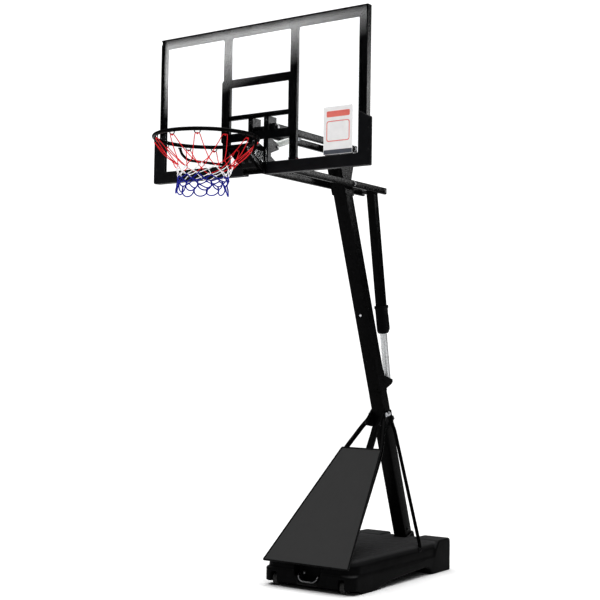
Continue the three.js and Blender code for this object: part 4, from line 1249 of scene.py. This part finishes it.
# ---- net ----------------------------------------------------------------------------------
# each row of knots: drop below the ring's centre plane, distance from the axis, sideways drift
NET_ROWS = (
    (0.0205, 0.2325, 0.0),
    (0.114, 0.143, 0.0),
    (0.136, 0.127, -0.002),
    (0.156, 0.118, -0.005),
    (0.177, 0.115, -0.009),
    (0.194, 0.114, -0.011),
    (0.209, 0.113, -0.013),
)
NET_DRIFT = Vector((0.82, 0.57, 0))
RED, WHITE, BLUE = range(3)
CORD_RADII = (0.0019, 0.0023, 0.0027)
STRAND_COLOURS = (RED, RED, WHITE, WHITE, BLUE, BLUE)
KNOT_COLOURS = (*STRAND_COLOURS, BLUE)
TIE_ANGLE = 0.043  # from a hook's middle to where a cord leaves it
LOOP_REACH = 0.034


def net_knots():
    """Where the knots hang; each row lies half a step round from the one above."""
    half_step = math.pi / HOOKS
    knots = {}
    for row, (drop, radius, drift) in enumerate(NET_ROWS):
        jitter = 0.006 if row else 0.0
        for k in range(HOOKS):
            place = round_ring(
                half_step * (2 * k + row) + random.uniform(-1, 1) * jitter / radius,
                radius + random.uniform(-1, 1) * jitter * 0.6,
                drop + random.uniform(-1, 1) * jitter,
            )
            knots[row, k] = place + NET_DRIFT * drift
    return knots


def outward(place):
    """The level direction from the ring's axis to a place."""
    out = place - RING_CENTRE
    out.z = 0
    return out.normalized()


def slack(start, end, bow):
    """Points from start to end, bowed outwards and down as a slack cord hangs."""
    out = outward((start + end) / 2) * bow - Z_AXIS * bow * 0.6
    return [start, start.lerp(end, 0.33) + out * 0.85, start.lerp(end, 0.67) + out, end]


def hanging_loop(start, end, fall, spread, twist):
    """Points of the open loop that hangs between two knots of the last row."""
    centre = (start + end) / 2
    out, along = outward(centre), (end - start).normalized()
    points = []
    for i in range(1, 8):
        angle = math.pi * i / 8
        across = along * (-math.cos(angle) * LOOP_REACH * spread)
        down = Z_AXIS * (math.sin(angle) ** 0.75 * fall)
        points.append(centre + across + out * (0.003 + twist * math.sin(angle)) - down)
    return [start, *points, end]


def net():
    """Twelve knotted meshes round the ring: red, then white, then blue with open loops."""
    random.seed(12)
    knots = net_knots()
    cords = Shells()

    def cord(points, mark, per_span=5):
        cords.sweep(smooth_path(points, per_span), CORD_RADII[mark], 8, mark=mark)

    hook_drop, hook_radius, _ = NET_ROWS[0]
    for row, mark in enumerate(STRAND_COLOURS):
        for k in range(HOOKS):
            for way in (-1, 1):
                target = knots[row + 1, k if way > 0 else (k - 1) % HOOKS]
                if row:
                    cord(slack(knots[row, k], target, random.uniform(0.001, 0.004)), mark)
                    continue
                end = round_ring(angles(HOOKS)[k] + way * TIE_ANGLE, hook_radius, hook_drop + 0.001)
                cord([knots[row, k], *slack(end, target, random.uniform(0.002, 0.008))], mark)
    for (row, _), place in knots.items():
        turns = [2 * math.pi * i / 8 for i in range(9)]
        curls = [Vector((math.cos(a), math.sin(a), 1.2 * math.cos(2 * a))) for a in turns]
        knot = smooth_path([place + curl * 0.0024 for curl in curls], 3)
        cords.sweep(knot, 0.0021, 8, mark=KNOT_COLOURS[row])
    last = len(NET_ROWS) - 1
    for k in range(HOOKS):
        fall = random.uniform(0.034, 0.047)
        spread, twist = random.uniform(0.75, 1.05), random.uniform(-0.014, 0.012)
        cord(hanging_loop(knots[last, k], knots[last, (k + 1) % HOOKS], fall, spread, twist), BLUE, 4)
    cords.piece("net_cords", "rim", [CORD_RED, CORD_WHITE, CORD_BLUE], "net_cord", ["net"], sharp=80)


# ---- studio -------------------------------------------------------------------------------
def floor():
    slab = Shells()
    slab.block((-30, -30, -0.01), (30, 30, 0))
    ground = bpy.data.objects.new("studio_floor", slab.mesh("studio_floor"))
    bpy.context.scene.collection.objects.link(ground)
    tree = new_tree("studio_floor")
    colour = tree.blend(tree.noise(0.7, 2), grey(0.92), grey(0.94))
    ground.data.materials.append(tree.finish(Base_Color=colour, Roughness=0.85, Specular_IOR_Level=0.1))


def lamp(name, place, target, width, power, height=None):
    data = bpy.data.lights.new(name, "AREA")
    data.shape = "RECTANGLE"
    data.size, data.size_y = width, height or width
    data.energy = power
    thing = bpy.data.objects.new(name, data)
    thing.location = place
    thing.rotation_mode = "QUATERNION"
    thing.rotation_quaternion = (Vector(target) - Vector(place)).to_track_quat("-Z", "Y")
    bpy.context.scene.collection.objects.link(thing)
    return data


def grade(data):
    """Fades a lamp towards its top, its left end and a slanting lower edge."""
    tree = Tree(data, clear=False)
    place = tree.node("ShaderNodeNewGeometry").outputs["Position"]
    x, z = tree.part(place, "X"), tree.part(place, "Z")
    above = tree.spread(tree.maths("SUBTRACT", z, tree.maths("MULTIPLY", x, 0.22)), 4.22, 4.58)
    glow = tree.maths("MULTIPLY", above, tree.spread(z, 4.09, 4.02))
    glow = tree.maths("MULTIPLY", glow, tree.spread(x, -3.965, -3.935))
    emission = next(node for node in tree.nodes if node.type == "EMISSION")
    tree.put(glow, emission.inputs["Strength"])


def lamps():
    # its mirror image pales the upper left of the board and fades along a slanting lower edge
    grade(lamp("soft_box_board", (-2.75, -5.2, 3.65), (-2.75, 0, 3.65), 2.5, 46, 1.1))
    lamp("soft_box_key", (-1.8, -5.0, 6.2), (0, -0.9, 0.8), 2.6, 36)
    lamp("soft_box_arms", (2.45, 1.9, 3.05), (0.05, -1.2, 2.25), 1.0, 5).spread = math.radians(38)
    lamp("soft_box_over", (0.5, -1.0, 6.0), (0, -0.6, 0), 4.0, 60)
    lamp("strip_light", (3.55, -4.5, 1.7), (0.2, -0.9, 0.3), 0.14, 20, 1.7)


def sky():
    """A white surround for what the eye sees, and a dimmer one, brighter overhead, for light."""
    world = bpy.data.worlds.new("studio_world")
    bpy.context.scene.world = world
    tree = Tree(world)
    up = tree.part(tree.coordinates("Generated"), "Z")
    ramp = tree.feed(tree.node("ShaderNodeValToRGB"), Fac=up)
    stops = ramp.color_ramp.elements
    stops[0].position, stops[0].color = 0.25, (*grey(0.004), 1)
    stops[1].position, stops[1].color = 1.0, (*grey(3.15), 1)
    stops.new(0.58).color = (*grey(0.08), 1)
    soft = tree.feed(tree.node("ShaderNodeBackground"), Color=ramp.outputs[0])
    white = tree.feed(tree.node("ShaderNodeBackground"), Color=(1, 1, 1, 1), Strength=1.18)
    # white only straight from the eye or through the acrylic, not by way of a reflection
    ray = tree.node("ShaderNodeLightPath").outputs
    straight = tree.maths("MAXIMUM", ray["Is Camera Ray"], ray["Is Transmission Ray"])
    bounces = tree.maths("ADD", ray["Glossy Depth"], ray["Diffuse Depth"])
    mix = tree.shader_mix(tree.maths("GREATER_THAN", straight, bounces), soft, white)
    tree.output(mix, "ShaderNodeOutputWorld")


def camera():
    yaw, pitch, roll = -0.60924, 0.048842, 0.015532
    forward = Vector((math.sin(yaw) * math.cos(pitch), math.cos(yaw) * math.cos(pitch), math.sin(pitch)))
    right = Vector((math.cos(yaw), -math.sin(yaw), 0))
    up = right.cross(forward)
    turned_right = right * math.cos(roll) + up * math.sin(roll)
    turned_up = up * math.cos(roll) - right * math.sin(roll)
    data = bpy.data.cameras.new("camera")
    data.sensor_width = 36
    data.lens = 72.68
    thing = bpy.data.objects.new("camera", data)
    bpy.context.scene.collection.objects.link(thing)
    rotation = Matrix((turned_right, turned_up, -forward)).transposed().to_4x4()
    thing.matrix_world = Matrix.Translation((3.453588, -5.969121, 1.153813)) @ rotation
    bpy.context.scene.camera = thing


for build in (tank_shell, fill_cap, transport_handle, wheels, pole, braces, front_panel, pivots, arms, strut):
    build()
for build in (backboard, label, uprights, corner_pads, assist, ring, rim_braces, rim_bracket, net):
    build()
for build in (floor, sky, camera, lamps):
    build()
bpy.context.scene.view_settings.view_transform = "Standard"
bpy.context.scene.view_settings.gamma = 0.84
